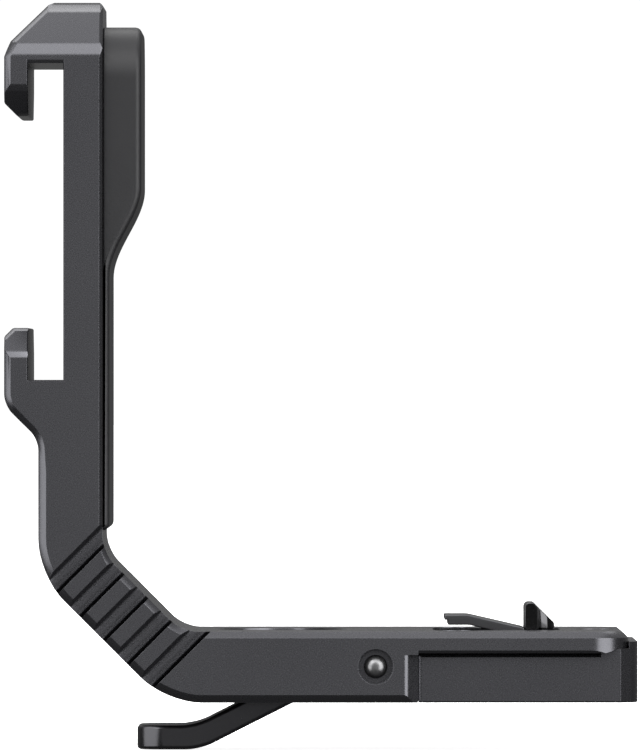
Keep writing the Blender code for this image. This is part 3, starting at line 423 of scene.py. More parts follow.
def frameBody():
    s = frameSizes
    half = s["halfWidth"]
    body = prism([
        (s["deckEnd"], 0), (s["deckEnd"], s["deckTop"]),
        (s["armInner"] + s["innerCut"], s["deckTop"], s["innerRound"]),
        (s["armInner"], s["deckTop"] + s["innerCut"], s["innerRound"]),
        (s["armInner"], s["top"]),
        (s["lipOuter"] + s["topCut"], s["top"]), (s["lipOuter"], s["top"] - s["topCut"]),
        (s["lipOuter"], s["mouthHigh"] + s["highLipCut"]),
        (s["lipOuter"] + s["highLipCut"], s["mouthHigh"]), (s["lipInner"], s["mouthHigh"]),
        (s["lipInner"], s["shoeHigh"]), (s["shoeWall"], s["shoeHigh"]),
        (s["shoeWall"], s["shoeLow"]), (s["lipInner"], s["shoeLow"]),
        (s["lipInner"], s["mouthLow"]), (s["lipOuter"] + s["lowLipCut"], s["mouthLow"]),
        (s["lipOuter"], s["mouthLow"] - s["lowLipCut"]), (s["lipOuter"], s["hookFoot"], s["hookRound"]),
        (s["armOuter"], s["hookFoot"] - s["hookStep"], s["heelRound"]),
        (s["armOuter"], s["outerCut"], s["outerRound"]),
        (s["armOuter"] + s["outerCut"], 0, s["outerRound"]),
    ], -half, half)
    for side in (-1, 1):
        sliceOff(body, (0, side * half, s["top"] - s["topCut"]), (0, side, 1))
        roundCorner(body, Vector((s["deckEnd"], side * half, 0)),
                    Vector((s["deckEnd"], side * half, s["deckTop"])), s["deckCorner"], 12)
    wedges = []
    for side in (-1, 1):  # the lips' ends are cut back at 45 degrees
        far, low, high = half + 1, s["lowFacet"], s["highFacet"]
        wedges.append(prism([
            (side * (half - low), s["mouthLow"]), (side * far, s["mouthLow"] - low - 1),
            (side * far, s["mouthHigh"] + high + 1), (side * (half - high), s["mouthHigh"]),
        ], s["lipOuter"] - 1, s["lipInner"] + s["facetDepth"], "YZ"))
    body = carve(body, joined(wedges))
    return softened(body, frameEdgeWidth, 4, frameEdges["shoulder"])


grooves = {"count": 5, "pitch": 1.97, "halfWidth": 0.56, "floorHalf": 0.35, "floor": 0.44,
           "crown": 0.05, "slit": 0.95, "centre": -28.87, "inner": -15.86, "outer": -20.95,
           "overrun": 1.4, "brim": 0.3, "steps": 8}


def grooveCutters():
    g = grooves
    half = frameSizes["halfWidth"]
    run = (g["inner"] - g["outer"]) / math.sqrt(2) + 2 * g["overrun"]
    middle = (g["inner"] + g["outer"]) / 2
    lean = Matrix.Rotation(-math.pi / 4, 4, "Y")
    cutters = []
    for side in (-1, 1):
        brim = side * (half + g["brim"])
        section = [(brim, -g["halfWidth"]), (brim, g["halfWidth"]), (side * half, g["halfWidth"])]
        for step in range(g["steps"] + 1):  # a sloping upper wall, then a slightly crowned floor
            across = 1 - 2 * step / g["steps"]
            depth = g["floor"] + g["crown"] * across * across
            section.append((side * (half - depth), g["floorHalf"] * across))
        section.append((side * (half - g["slit"]), -g["halfWidth"]))  # a deep corner at the lower wall
        for index in range(g["count"]):
            offset = g["centre"] + (index - (g["count"] - 1) / 2) * g["pitch"] * math.sqrt(2)
            cutter = prism(section, -run / 2, run / 2, "YZ")
            place = Matrix.Translation(((middle + offset) / 2, 0, (middle - offset) / 2))
            bmesh.ops.transform(cutter, matrix=place @ lean, verts=cutter.verts)
            cutters.append(cutter)
    return joined(cutters)


seat = {"roof": 3.20, "left": -6.19, "half": 9.33, "rimDrop": 0.40, "rimEdge": 0.17,
        "wallRound": 0.46, "wallSteps": 6}


def cutFootSeat(body):
    s, half = seat, frameSizes["halfWidth"]
    slope = s["rimDrop"] / (half - s["half"])
    brim, past = half - s["rimEdge"], 0.2
    low = s["roof"] - slope * (brim - s["half"])
    rise = [(half + 1, low), (half + past, low + s["rimEdge"] + past), (brim, low),
            (s["half"], s["roof"])]
    section = [(-half - 1, -1), (half + 1, -1)] + rise + [(-y, z) for y, z in reversed(rise)]
    body = carve(body, prism(section, s["left"], frameSizes["deckEnd"] + 1, "YZ"))
    reach = s["wallRound"] * math.tan(math.pi / 8)
    corner = s["left"] - (half - s["half"])  # where the slanting wall meets the side
    tools = []
    for side in (-1, 1):
        arc = []
        for step in range(s["wallSteps"] + 1):
            angle = math.pi / 4 * step / s["wallSteps"]
            arc.append((corner - reach + s["wallRound"] * math.sin(angle),
                        half - s["wallRound"] * (1 - math.cos(angle))))
        arc[0] = (arc[0][0] - 0.02, half + 0.001)  # it starts just off the side, for a clean cut
        wall = [(s["left"], s["half"]), (s["left"] + 1, s["half"]), (s["left"] + 1, half + 1),
                (arc[0][0], half + 1)] + arc
        tools.append(prism([(x, side * y) for x, y in wall], -1, s["roof"] - s["rimDrop"], "XY"))
    return carve(body, joined(tools))


window = {"left": -5.25, "right": 2.20, "half": 3.75, "corner": 0.5}  # of the latch, in the deck
leverSlot = {"half": 4.1, "roof": 3.58, "wall": -7.19, "channelTop": 2.05, "channelEnd": -5.6,
             "gap": 0.065}
pinBore = {"shaft": 0.68, "recess": 0.96, "mouth": 1.04, "mouthEdge": 0.1, "floor": 9.1}
clawSeat = {"inner": 2.75, "outer": 5.6}  # where the foot's slots for the claw's pin start and end
capSeat = {"radius": 3.80, "floor": 3.47, "springBore": 1.95, "springRoof": 3.6}


def leverSlotTool():
    # the roof's slope lies just above the lever's arm when the lever is pressed home
    s = leverSlot
    pressed = math.radians(leverSizes["slope"] - leverSizes["travel"])
    tilt = math.tan(pressed)
    level = (leverSizes["raise"] + leverSizes["thick"] + s["gap"]) / math.cos(pressed) + leverPin[2]
    bend = leverPin[0] + (s["roof"] - level) / tilt
    end = leverPin[0] - (level + 1) / tilt
    return prism([
        (s["channelEnd"], -1), (s["channelEnd"], s["channelTop"]), (s["wall"], s["channelTop"]),
        (s["wall"], s["roof"]), (bend, s["roof"]), (end, -1),
    ], -s["half"], s["half"])


def leverPinBore():
    p, half = pinBore, frameSizes["halfWidth"]
    far = [(p["shaft"], p["floor"]), (p["recess"], p["floor"]), (p["recess"], half - p["mouthEdge"]),
           (p["mouth"], half), (p["mouth"], half + 1), (0, half + 1)]
    return turned([(r, -y) for r, y in reversed(far)] + far, leverPin, (0, 1, 0))


def cutFrameOpenings(body):
    w, top = window, frameSizes["deckTop"]
    body = carve(body, prism([
        (w["left"], -w["half"], w["corner"]), (w["right"], -w["half"], w["corner"]),
        (w["right"], w["half"], w["corner"]), (w["left"], w["half"], w["corner"]),
    ], seat["roof"] - 1, top + 1, "XY"))
    body = carve(body, leverSlotTool())
    body = carve(body, leverPinBore())
    x, z = clawPin[0], clawPin[2]
    pinSeats = [rod((x, side * clawSeat["inner"], z), (x, side * clawSeat["outer"], z), clawHole, 24)
                for side in (-1, 1)]
    body = carve(body, joined(pinSeats))
    x = springFoot[0]
    body = carve(body, rod((x, 0, capSeat["floor"]), (x, 0, top + 0.85), capSeat["radius"], 96))
    return carve(body, rod((x, 0, 0), (x, 0, capSeat["springRoof"]), capSeat["springBore"]))


screws = {"head": 1.25, "headDepth": 0.6, "shank": 0.7, "recess": 0.08, "gap": 0.05,
          "socket": 0.5, "socketDepth": 0.3, "headEdge": 0.06, "tip": 0.15, "socketEdge": 0.04}
deckHead = frameSizes["deckTop"] - screws["recess"]
padHead = frameSizes["shoeWall"] + screws["recess"]
deckScrews = {"direction": (0, 0, 1), "axis": "Z", "length": 3.49, "places": {
    "footScrewFront": ("foot_screw_front", (-3.9, -5.6, deckHead)),
    "footScrewRear": ("foot_screw_rear", (-3.9, 5.6, deckHead)),
    "footScrewEnd": ("foot_screw_end", (4.4, 0.0, deckHead))}}
padScrews = {"direction": (-1, 0, 0), "axis": "X", "length": 3.6, "places": {
    "padScrewFront": ("pad_screw_front", (padHead, -5.0, 33.5)),
    "padScrewRear": ("pad_screw_rear", (padHead, 5.0, 33.5))}}


def screwHoles(*groups):
    s, gap = screws, screws["gap"]
    holes = []
    for group in groups:
        end = -group["length"] - gap
        profile = [(0, 1), (s["head"] + gap, 1), (s["head"] + gap, -gap),
                   (s["shank"] + gap, -s["headDepth"] - gap), (s["shank"] + gap, end), (0, end)]
        holes += [turned(profile, place, group["direction"]) for node, place in group["places"].values()]
    return joined(holes)


def makeFrame():
    body = frameBody()
    print("frame body", len(body.faces), "faces")
    body = carve(body, grooveCutters())
    body = cutFootSeat(body)
    body = cutFrameOpenings(body)
    body = carve(body, screwHoles(deckScrews, padScrews))
    top, e = frameSizes["deckTop"], frameEdges
    softenRim(body, lambda p: abs(p.z - top) < 0.001 and p.x < e["rimEnd"] and abs(p.y) < e["rimHalf"],
              e["rim"])
    finishPiece("mainFrame", body, satinAlloy, "bracket", "main_frame")


# Arm pad
padSizes = {"back": -24.65, "thin": -24.25, "thick": -22.38, "low": 10.10, "curveLow": 25.0,
            "curveTop": 30.20, "top": 39.60, "half": 9.4, "corner": 3.0, "edge": 0.38,
            "backEdge": 0.12, "steps": 24}


def makePad():
    s = padSizes
    outline = [(s["back"], s["low"]), (s["thin"], s["low"])]
    for step in range(s["steps"] + 1):  # the curve from the thin foot to the thick head
        share = step / s["steps"]
        swell = share * share * (3 - 2 * share)
        outline.append((s["thin"] + (s["thick"] - s["thin"]) * swell,
                        s["curveLow"] + (s["curveTop"] - s["curveLow"]) * share))
    outline += [(s["thick"], s["top"]), (s["back"], s["top"])]
    pad = prism(outline, -s["half"], s["half"])
    for side in (-1, 1):
        roundCorner(pad, Vector((s["back"], side * s["half"], s["top"])),
                    Vector((s["thick"], side * s["half"], s["top"])), s["corner"], 16)

    def edgeWidth(edge, middle):
        if middle.x < s["back"] + 0.01:
            return s["backEdge"]
        return s["edge"] if edge.is_convex else 0
    pad = softened(pad, edgeWidth)
    pad = carve(pad, screwHoles(padScrews))
    finishPiece("armPad", pad, mouldedPad, "bracket", "arm_pad")


# Foot block
footSizes = {"left": -6.18, "right": 6.70, "height": 3.17, "half": 9.3, "nose": 0.52,
             "noseRise": 0.40, "cornerCut": 0.60, "cornerLap": 0.1, "cornerSteps": 8, "edge": 0.10,
             "gapLow": 2.66, "gapEnd": 4.55, "leftEdge": 0.26, "leftDrop": 0.11, "slotSteps": 12}
footWells = {  # two opposite corners of each
    "tripPlate": ((-5.4, -3.75, 2.95), (0.65, 3.75, 4.2)),
    "claw": ((-0.35, -3.75, 0.55), (2.4, 3.75, 4.2)),
    "leverBar": ((-7.1, -1.6, -1.0), (2.15, 1.6, 2.05)),
}


def footCornerTools():
    s = footSizes
    x, y, c = s["right"], s["half"], s["cornerCut"]
    high = s["height"] + s["noseRise"] + 1
    tools = []
    for side in (-1, 1):  # the end's corners: a 45 degree facet that runs into a rounding
        start = x - s["nose"] - c + s["cornerLap"]
        r = (x - start - c) / (1 - math.sqrt(0.5))
        arc = []
        for step in range(s["cornerSteps"] + 1):
            angle = math.pi / 4 * (1 + step / s["cornerSteps"])
            arc.append((x - r + r * math.sin(angle),
                        side * (y - c + r * (math.cos(angle) - math.sqrt(0.5)))))
        arc[-1] = (arc[-1][0] + 0.001, arc[-1][1])  # it ends just off the face, for a clean cut
        tools.append(prism([(start, side * y)] + arc + [
            (x + 1, arc[-1][1]), (x + 1, side * (y + 1)), (start, side * (y + 1))], -1, high, "XY"))
        left, inset = s["left"], side * (y - s["leftDrop"])  # the narrow facets at the left end
        tools.append(prism([
            (left - 1, inset), (left, inset), (left + s["leftEdge"], side * y),
            (left + s["leftEdge"], side * (y + 1)), (left - 1, side * (y + 1))], -1, high, "XY"))
    return joined(tools)


def footGapTools():
    # the shadow gap under the deck's edge: the foot's top edge is cut back at 45 degrees
    s = footSizes
    tools = []
    for side in (-1, 1):
        brim, inner = side * (s["half"] + 1), side * (s["half"] - (s["height"] - s["gapLow"]) - 1)
        tools.append(prism([(brim, s["gapLow"] - 1), (brim, s["height"] + 1), (inner, s["height"] + 1)],
                           s["left"] - 1, s["gapEnd"], "YZ"))
    return joined(tools)


def clawPinSlots():
    x, z = clawPin[0], clawPin[2]
    top, steps = 4.2, footSizes["slotSteps"]
    slots = []
    for side in (-1, 1):
        outline = [(x - clawHole, top)]
        for step in range(steps + 1):
            angle = math.pi * (1 + step / steps)
            outline.append((x + clawHole * math.cos(angle), z + clawHole * math.sin(angle)))
        outline += [(x + clawHole, top)]
        low, high = sorted((side * clawSeat["inner"], side * clawSeat["outer"]))
        slots.append(prism(outline, low, high))
    return joined(slots)


def makeFoot():
    s = footSizes
    noseTop = s["height"] + s["noseRise"]
    body = prism([
        (s["left"], 0), (s["right"], 0), (s["right"], noseTop), (s["right"] - s["nose"], noseTop),
        (s["right"] - s["nose"], s["height"]), (s["left"], s["height"]),
    ], -s["half"], s["half"])
    body = carve(body, footCornerTools())
    body = carve(body, footGapTools())
    body = softened(body, lambda edge, middle: s["edge"] if edge.is_convex and middle.z < 0.01 else 0)
    for low, high in footWells.values():
        body = carve(body, block(low, high))
    body = carve(body, clawPinSlots())
    body = carve(body, screwHoles(deckScrews))
    finishPiece("footBlock", body, footAlloy, "bracket", "foot_block")


# Spring cap and screws
capSizes = {"top": 4.04, "radius": 3.75, "under": 3.50, "boss": 1.9, "bossLow": 2.9, "well": 1.45,
            "wellRoof": 3.45, "wrenchHole": 0.35, "wrenchReach": 2.3, "wrenchFloor": 3.78,
            "holeEdge": 0.05, "rim": [(0.15, 0), (0.07, 0.02), (0, 0.10)]}  # inward, down


def makeCap():
    s = capSizes
    x = springFoot[0]
    rim = [(s["radius"] - inward, s["top"] - down) for inward, down in s["rim"]]
    cap = turned([(0, s["top"])] + rim + [
        (s["radius"], s["under"]), (s["boss"], s["under"]), (s["boss"], s["bossLow"]),
        (s["well"], s["bossLow"]), (s["well"], s["wellRoof"]), (0, s["wellRoof"]),
    ], springFoot, steps=96)
    holes = [rod((x, y, s["wrenchFloor"]), (x, y, s["top"] + 1), s["wrenchHole"], 32)
             for y in (-s["wrenchReach"], s["wrenchReach"])]
    cap = carve(cap, joined(holes))
    softenRim(cap, lambda p: abs(p.z - s["top"]) < 0.001 and math.hypot(p.x - x, p.y) < 3,
              s["holeEdge"])
    look = turnedFinish("turnedAlloy", "alloy", springFoot, "Z")
    finishPiece("springCap", cap, look, "bracket", "spring_cap")


def makeScrew(name, node, place, group):
    s, length = screws, group["length"]
    body = turned([
        (0, 0), (s["head"] - s["headEdge"], 0), (s["head"], -s["headEdge"]),
        (s["shank"], -s["headDepth"]), (s["shank"], -length + s["tip"]),
        (s["shank"] - s["tip"], -length), (0, -length),
    ], (0, 0, 0))
    body = carve(body, rod((0, 0, -s["socketDepth"]), (0, 0, 1), s["socket"], 6))
    softenRim(body, lambda p: abs(p.z) < 0.001 and p.length < s["socket"] + 0.05, s["socketEdge"])
    turn = Vector(group["direction"]).to_track_quat("Z", "Y").to_matrix().to_4x4()
    bmesh.ops.transform(body, matrix=Matrix.Translation(place) @ turn, verts=body.verts)
    look = turnedFinish(name + "Finish", "black", place, group["axis"])
    finishPiece(name, body, look, "bracket", node)


def makeScrews():
    for group in (deckScrews, padScrews):
        for name, (node, place) in group["places"].items():
            makeScrew(name, node, place, group)


# Latch
toothSizes = {"half": 3.0, "left": -1.08, "right": 0.70, "bottom": 0.98, "top": 2.88, "ramp": 2.36,
              "leftRound": 0.28, "rightRound": 0.20, "sideRound": 0.90, "draft": 9, "edge": 0.07}
hubSizes = {"half": 1.5, "radius": 0.8, "neck": 0.7, "neckTop": 1.5, "legLeft": -0.05,
            "legRight": 0.55, "legHalf": 1.2, "legDrop": 1.2}  # the part that turns on the pin


def toothSideTools():
    # rounds the tooth's two right corners and draws its sides in toward the left
    s, steps = toothSizes, 8
    x, z = clawPin[0], clawPin[2]
    r, draft = s["sideRound"], math.radians(s["draft"])
    cx, cy, far = x + s["right"] - r, s["half"] - r, s["half"] + 1
    end = x + s["left"] - 0.2
    tools = []
    for side in (-1, 1):
        arc = []
        for step in range(steps + 1):
            angle = (math.pi / 2 + draft) * step / steps
            arc.append((cx + r * math.cos(angle), side * (cy + r * math.sin(angle))))
        inward = (arc[-1][0] - end) * math.tan(draft)
        tools.append(prism([(cx + r + 1, side * cy)] + arc + [
            (end, arc[-1][1] - side * inward), (end, side * far), (cx + r + 1, side * far),
        ], z, z + 4, "XY"))
    return joined(tools)


def makeTooth():
    s, h = toothSizes, hubSizes
    x, z = clawPin[0], clawPin[2]
    tooth = prism([
        (x + s["left"], z + s["bottom"]), (x + s["right"], z + s["bottom"]),
        (x + s["right"], z + s["ramp"] - s["right"], s["rightRound"]),
        (x + s["ramp"] - s["top"], z + s["top"], s["rightRound"]),
        (x + s["left"], z + s["top"], s["leftRound"]),
    ], -s["half"], s["half"])
    tooth = carve(tooth, toothSideTools())
    tooth = rounded(tooth, s["edge"])
    hub = [block((x - h["neck"], -h["half"], z), (x + h["neck"], h["half"], z + h["neckTop"])),
           rod((x, -h["half"], z), (x, h["half"], z), h["radius"]),
           block((x + h["legLeft"], -h["legHalf"], z - h["legDrop"]),
                 (x + h["legRight"], h["legHalf"], z))]
    for part in hub:
        tooth = carve(tooth, part, "UNION")
    tooth = carve(tooth, rod((x, -s["half"], z), (x, s["half"], z), clawHole))
    finishPiece("clawTooth", tooth, blackSteel, "latch_claw", "claw_tooth")


tripSizes = {"half": 3.6, "left": -5.8, "bend": -4.4, "right": -1.1, "top": 2.16, "thick": 0.6,
             "bendRound": 1.2, "step": 0.2, "slope": 13, "edge": 0.07, "ear": 0.45,
             "earInset": 0.08, "earRoot": 1.2, "earLap": 0.16, "earRadius": 0.75, "earSteps": 16}


def makeTripPlate():
    s = tripSizes
    x, z = clawPin[0], clawPin[2]
    slope = math.radians(s["slope"])
    fall = math.tan(slope)
    drop = s["thick"] / math.cos(slope)
    endTop = s["top"] - (s["right"] - s["bend"]) * fall
    under = s["top"] - s["thick"]
    bend = s["bend"] + (drop - s["thick"]) / fall
    outline = [(s["left"], s["top"]), (s["left"], s["top"] - s["thick"] / 2),
               (s["left"] + s["step"], s["top"] - s["thick"] / 2), (s["left"] + s["step"], under),
               (bend, under), (s["right"], endTop - drop), (s["right"], endTop),
               (s["bend"], s["top"], s["bendRound"])]
    plate = prism([(x + c[0], z + c[1], *c[2:]) for c in outline], -s["half"], s["half"])
    plate = rounded(plate, s["edge"])
    rootTop = s["top"] - (s["right"] - s["bend"] - s["earRoot"]) * fall
    ear = [(s["right"] - s["earInset"], endTop - s["earLap"]),
           (s["right"] - s["earRoot"], rootTop - s["earLap"])]
    for step in range(s["earSteps"] + 1):  # round the pin, from its lower left to its upper right
        angle = math.pi * (1.25 + step / s["earSteps"])
        ear.append((s["earRadius"] * math.cos(angle), s["earRadius"] * math.sin(angle)))
    for side in (-1, 1):  # each ear ends a hair inside the plate's side, for a clean join
        low, high = sorted((side * (s["half"] - s["ear"]), side * (s["half"] - 0.004)))
        plate = carve(plate, prism([(x + u, z + v) for u, v in ear], low, high), "UNION")
    plate = carve(plate, rod((x, -s["half"] - 1, z), (x, s["half"] + 1, z), clawHole, 32))
    finishPiece("tripPlate", plate, greySteel, "latch_claw", "trip_plate")


pinSizes = {
    "clawPin": {"centre": clawPin, "radius": 0.4, "half": 5.5, "edge": 0.1, "finish": "pinSteel",
                "node": "claw_pin"},
    "leverPin": {"centre": leverPin, "radius": leverPinRadius, "half": 9.92,
                 "edge": 0.56, "finish": "leverPinSteel", "node": "lever_pin"},
}


def makePins():
    for name, s in pinSizes.items():
        arc = []
        for step in range(9):  # the domed end
            angle = math.pi / 2 * step / 8
            arc.append((s["radius"] - s["edge"] + s["edge"] * math.sin(angle),
                        s["half"] - s["edge"] + s["edge"] * math.cos(angle)))
        profile = [(0, s["half"])] + arc + [(r, -h) for r, h in reversed(arc)] + [(0, -s["half"])]
        pin = turned(profile, s["centre"], (0, 1, 0))
        look = turnedFinish(s["finish"], "bright", s["centre"], "Y")
        finishPiece(name, pin, look, "bracket", s["node"])


# Springs
leverSpringSizes = {"wire": 0.14, "radius": 1.1, "pitch": 0.72, "turns": 2.6, "gap": 0.05,
                    "steps": 32}  # the gap is between the coil and the cup's floor
clawSpringSizes = {"wire": 0.07, "radius": 0.62, "turns": 2.25, "outer": 3.01, "inner": 1.64,
                   "armReach": 2.7, "armRise": 1.0, "legDrop": 1.9, "steps": 32}


def wireMesh(points, radius):
    curve = bpy.data.curves.new("wire", "CURVE")
    curve.dimensions = "3D"
    curve.bevel_depth = radius
    curve.bevel_resolution = 3
    curve.use_fill_caps = True
    line = curve.splines.new("POLY")
    line.points.add(len(points) - 1)
    for target, place in zip(line.points, points):
        target.co = (*place, 1)
    item = bpy.data.objects.new("wire", curve)
    bpy.context.scene.collection.objects.link(item)
    bpy.context.view_layer.update()
    bm = bmesh.new()
    shaped = item.evaluated_get(bpy.context.evaluated_depsgraph_get())
    bm.from_mesh(shaped.to_mesh())
    shaped.to_mesh_clear()
    bpy.data.objects.remove(item)
    bpy.data.curves.remove(curve)
    bmesh.ops.remove_doubles(bm, verts=bm.verts, dist=meshing["weld"])
    bmesh.ops.recalc_face_normals(bm, faces=bm.faces)
    return bm


def makeLeverSpring():
    s = leverSpringSizes
    low = cupSizes["seatTop"] + s["gap"] + s["wire"]
    points = []
    for step in range(round(s["turns"] * s["steps"]) + 1):
        angle = math.tau * step / s["steps"]
        points.append((springFoot[0] + s["radius"] * math.cos(angle), s["radius"] * math.sin(angle),
                       low + s["pitch"] * step / s["steps"]))
    spring = finishPiece("leverSpring", wireMesh(points, s["wire"]), springWire, "bracket",
                         "lever_spring")
    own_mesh(spring)


def makeClawSprings():
    s = clawSpringSizes
    x, z = clawPin[0], clawPin[2]
    outer, inner = s["outer"], s["inner"]
    count = round(s["turns"] * s["steps"])
    for name, node, side in (("clawSpringFront", "claw_spring_front", -1),
                             ("clawSpringRear", "claw_spring_rear", 1)):
        points = [(x - s["armReach"], side * outer, z + s["armRise"])]
        for step in range(count + 1):
            angle = math.tau / 4 - math.tau * step / s["steps"]
            points.append((x + s["radius"] * math.cos(angle),
                           side * (outer - (outer - inner) * step / count),
                           z + s["radius"] * math.sin(angle)))
        points.append((points[-1][0], points[-1][1], z - s["legDrop"]))
        finishPiece(name, wireMesh(points, s["wire"]), springWire, "latch_claw", node)


# Release lever, with its slope at rest and its travel in degrees
leverSizes = {"half": 3.9, "thick": 1.42, "slope": 26.8, "travel": 5.0, "raise": 0.20,
              "underside": -4.98, "reach": -14.04, "corner": 1.6, "bend": 3.6, "edge": 0.22,
              "hub": 1.38, "hubHalf": 3.3, "relief": 1.5, "reliefEnd": 5.0, "barHalf": 1.3,
              "barLow": -1.11, "barHigh": -0.46, "barEnd": 10.03}
cupSizes = {"radius": 1.52, "floor": 1.203, "mouth": 2.5, "seat": 1.45, "seatLow": -0.1,
            "seatTop": 1.2}  # the cup in the lever's arm that the spring stands in


def leverOutline():
    s = leverSizes
    tilt = math.tan(math.radians(s["slope"]))
    across = Vector((-math.sin(math.radians(s["slope"])), math.cos(math.radians(s["slope"]))))
    under = across * s["raise"]
    over = across * (s["raise"] + s["thick"])
    topside = s["underside"] + s["thick"]
    return [(under.x, under.y), (over.x, over.y),
            (over.x + (topside - over.y) / tilt, topside, s["bend"]),
            (s["reach"], topside), (s["reach"], s["underside"]),
            (under.x + (s["underside"] - under.y) / tilt, s["underside"], s["bend"])]


def makeLever():
    s, c = leverSizes, cupSizes
    x, z = leverPin[0], leverPin[2]
    lever = prism([(x + p[0], z + p[1], *p[2:]) for p in leverOutline()], -s["half"], s["half"],
                  "XZ", 12)
    for side in (-1, 1):
        corner = Vector((x + s["reach"], side * s["half"], z + s["underside"]))
        roundCorner(lever, corner, corner + Vector((0, 0, s["thick"])), s["corner"], 12)
    lever = rounded(lever, s["edge"], 4)
    reliefs = [rod((x, side * s["hubHalf"], z), (x, side * s["reliefEnd"], z), s["relief"])
               for side in (-1, 1)]
    lever = carve(lever, joined(reliefs))
    lever = carve(lever, rod((x, -s["hubHalf"], z), (x, s["hubHalf"], z), s["hub"], 64), "UNION")
    lever = carve(lever, block((x, -s["barHalf"], z + s["barLow"]),
                               (x + s["barEnd"], s["barHalf"], z + s["barHigh"])), "UNION")
    middle = springFoot[0]
    lever = carve(lever, rod((middle, 0, c["floor"]), (middle, 0, c["mouth"]), c["radius"]))
    lever = carve(lever, rod((middle, 0, c["seatLow"]), (middle, 0, c["seatTop"]), c["seat"]), "UNION")
    ends = s["hubHalf"] + 0.3
    lever = carve(lever, rod((x, -ends, z), (x, ends, z), leverPinRadius, 32))
    finishPiece("releaseLever", lever, leverSteel, "release_lever", "release_lever")


washerSizes = {"outer": 1.2, "low": 3.4, "high": 4.0, "edge": 0.06}


def makeWashers():
    s = washerSizes
    ring = [(leverPinRadius, s["low"]), (s["outer"] - s["edge"], s["low"]),
            (s["outer"], s["low"] + s["edge"]), (s["outer"], s["high"] - s["edge"]),
            (s["outer"] - s["edge"], s["high"]), (leverPinRadius, s["high"])]
    for name, node, side in (("leverWasherFront", "lever_washer_front", -1),
                             ("leverWasherRear", "lever_washer_rear", 1)):
        washer = turned(ring, leverPin, (0, side, 0), ring=True)
        finishPiece(name, washer, naturalNylon, "bracket", node)


makeFrame()
makePad()
makeFoot()
makeCap()
makeScrews()
makeTooth()
makeTripPlate()
makePins()
makeLeverSpring()
makeClawSprings()
makeLever()
makeWashers()


# Studio
white = (1, 1, 1, 1)
studio = {"camera": (-0.01633, -0.910, 0.01913), "lens": 736.5, "sensor": 36,
          "aim": (-0.0163, 0, 0.019), "backdrop": 1.05, "floor": -0.00295, "floorRadius": 6,
          "floorTone": 0.9, "floorGlow": 0.9}
lamps = {  # azimuth and elevation in degrees, distance and size in metres, watts
    "rightBox": (45, 8, 0.8, (0.70, 0.90), 10.8),
    "leftBox": (-62, 18, 0.8, (1.15, 1.35), 18.0),
    "topBox": (0, 46, 0.9, (1.40, 0.65), 10.4),
    "overheadBox": (0, 88, 0.9, (0.90, 0.50), 1.5),
    "rimBox": (180, 56, 0.9, (0.90, 0.40), 3.6),
    "frontBox": (0, 4, 1.3, (0.50, 0.50), 0.57),
}
room = {"front": 0.12, "behind": 0.06, "above": 0.60, "below": 0.14,
        "backFade": (-0.2, 0.8), "topFade": (0.2, 0.9), "lowFade": (-0.35, -0.06)}


def softLight(name, azimuth, elevation, distance, size, power):
    data = bpy.data.lights.new(name, "AREA")
    data.shape = "RECTANGLE"
    data.size, data.size_y = size
    data.energy = power
    lamp = bpy.data.objects.new(name, data)
    bpy.context.scene.collection.objects.link(lamp)
    a, e = math.radians(azimuth), math.radians(elevation)
    back = Vector((math.sin(a) * math.cos(e), -math.cos(a) * math.cos(e), math.sin(e)))
    lamp.location = Vector(studio["aim"]) + back * distance
    lamp.rotation_mode = "QUATERNION"
    lamp.rotation_quaternion = (-back).to_track_quat("-Z", "Y")


def makeCamera():
    lens = bpy.data.cameras.new("camera")
    lens.lens = studio["lens"]
    lens.sensor_width = studio["sensor"]
    lens.clip_start, lens.clip_end = 0.01, 20
    camera = bpy.data.objects.new("camera", lens)
    camera.location = studio["camera"]
    camera.rotation_euler = (math.pi / 2, 0, 0)
    bpy.context.scene.collection.objects.link(camera)
    bpy.context.scene.camera = camera


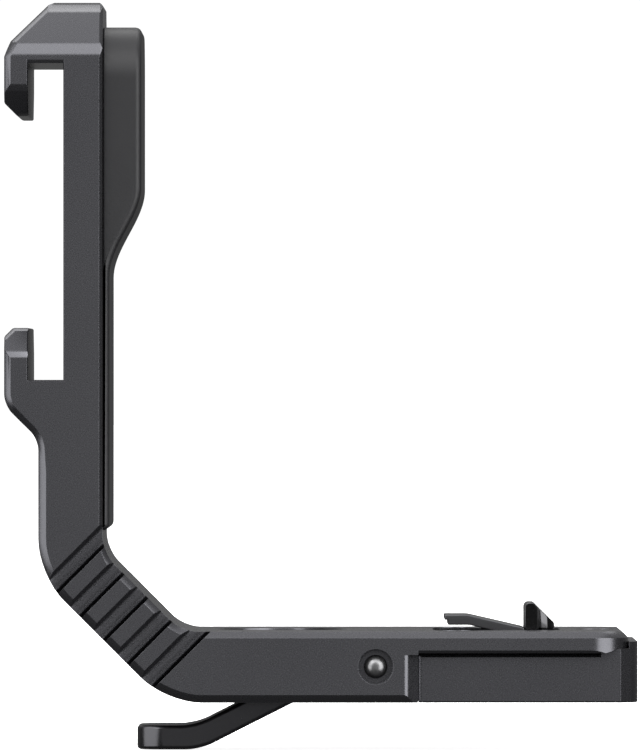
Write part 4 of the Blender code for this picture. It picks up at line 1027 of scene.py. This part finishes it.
def makeFloor():
    bm = bmesh.new()
    bmesh.ops.create_circle(bm, cap_ends=True, segments=96, radius=studio["floorRadius"])
    bmesh.ops.translate(bm, vec=(0, 0, studio["floor"]), verts=bm.verts)
    mesh = bpy.data.meshes.new("floor")
    bm.to_mesh(mesh)
    bm.free()
    floor = bpy.data.objects.new("floor", mesh)
    bpy.context.scene.collection.objects.link(floor)
    pale = bpy.data.materials.new("paleFloor")
    pale.use_nodes = True
    inputs = pale.node_tree.nodes["Principled BSDF"].inputs
    tone = studio["floorTone"]
    inputs["Base Color"].default_value = (tone, tone, tone, 1)
    inputs["Roughness"].default_value = 0.9
    inputs["Emission Color"].default_value = white
    inputs["Emission Strength"].default_value = studio["floorGlow"]
    mesh.materials.append(pale)
    floor.visible_glossy = False
    floor.visible_diffuse = False


def makeRoom():
    # what the bracket reflects: a dim room, a little brighter behind it and bright above
    world = bpy.data.worlds.new("studio")
    bpy.context.scene.world = world
    world.use_nodes = True
    tree = world.node_tree
    tree.nodes.clear()
    way = addNode(tree, "ShaderNodeTexCoord").outputs["Generated"]
    parts = addNode(tree, "ShaderNodeSeparateXYZ", {"Vector": way})

    def fade(axis, reach, low, high):
        limits = {"From Min": reach[0], "From Max": reach[1], "To Min": low, "To Max": high}
        return addNode(tree, "ShaderNodeMapRange", {"Value": parts.outputs[axis]}, limits).outputs[0]

    def both(operation, first, second):
        return addNode(tree, "ShaderNodeMath", {0: first, 1: second}, operation=operation).outputs[0]
    walls = fade("Y", room["backFade"], room["front"], room["front"] + room["behind"])
    ceiling = fade("Z", room["topFade"], 0, room["above"])
    upper = both("MULTIPLY", both("ADD", walls, ceiling), fade("Z", room["lowFade"], 0, 1))
    level = both("ADD", upper, fade("Z", room["lowFade"], room["below"], 0))
    reflected = addNode(tree, "ShaderNodeBackground", {"Strength": level}, {"Color": white})
    backdrop = addNode(tree, "ShaderNodeBackground",
                       inputs={"Color": white, "Strength": studio["backdrop"]})
    seen = addNode(tree, "ShaderNodeLightPath").outputs["Is Camera Ray"]  # the camera sees white
    mixed = addNode(tree, "ShaderNodeMixShader",
                    {0: seen, 1: reflected.outputs[0], 2: backdrop.outputs[0]})
    addNode(tree, "ShaderNodeOutputWorld", {"Surface": mixed.outputs[0]})


def makeStudio():
    makeCamera()
    for name, lamp in lamps.items():
        softLight(name, *lamp)
    makeFloor()
    makeRoom()
    bpy.context.scene.view_settings.view_transform = "Standard"
    print("studio ready")


makeStudio()
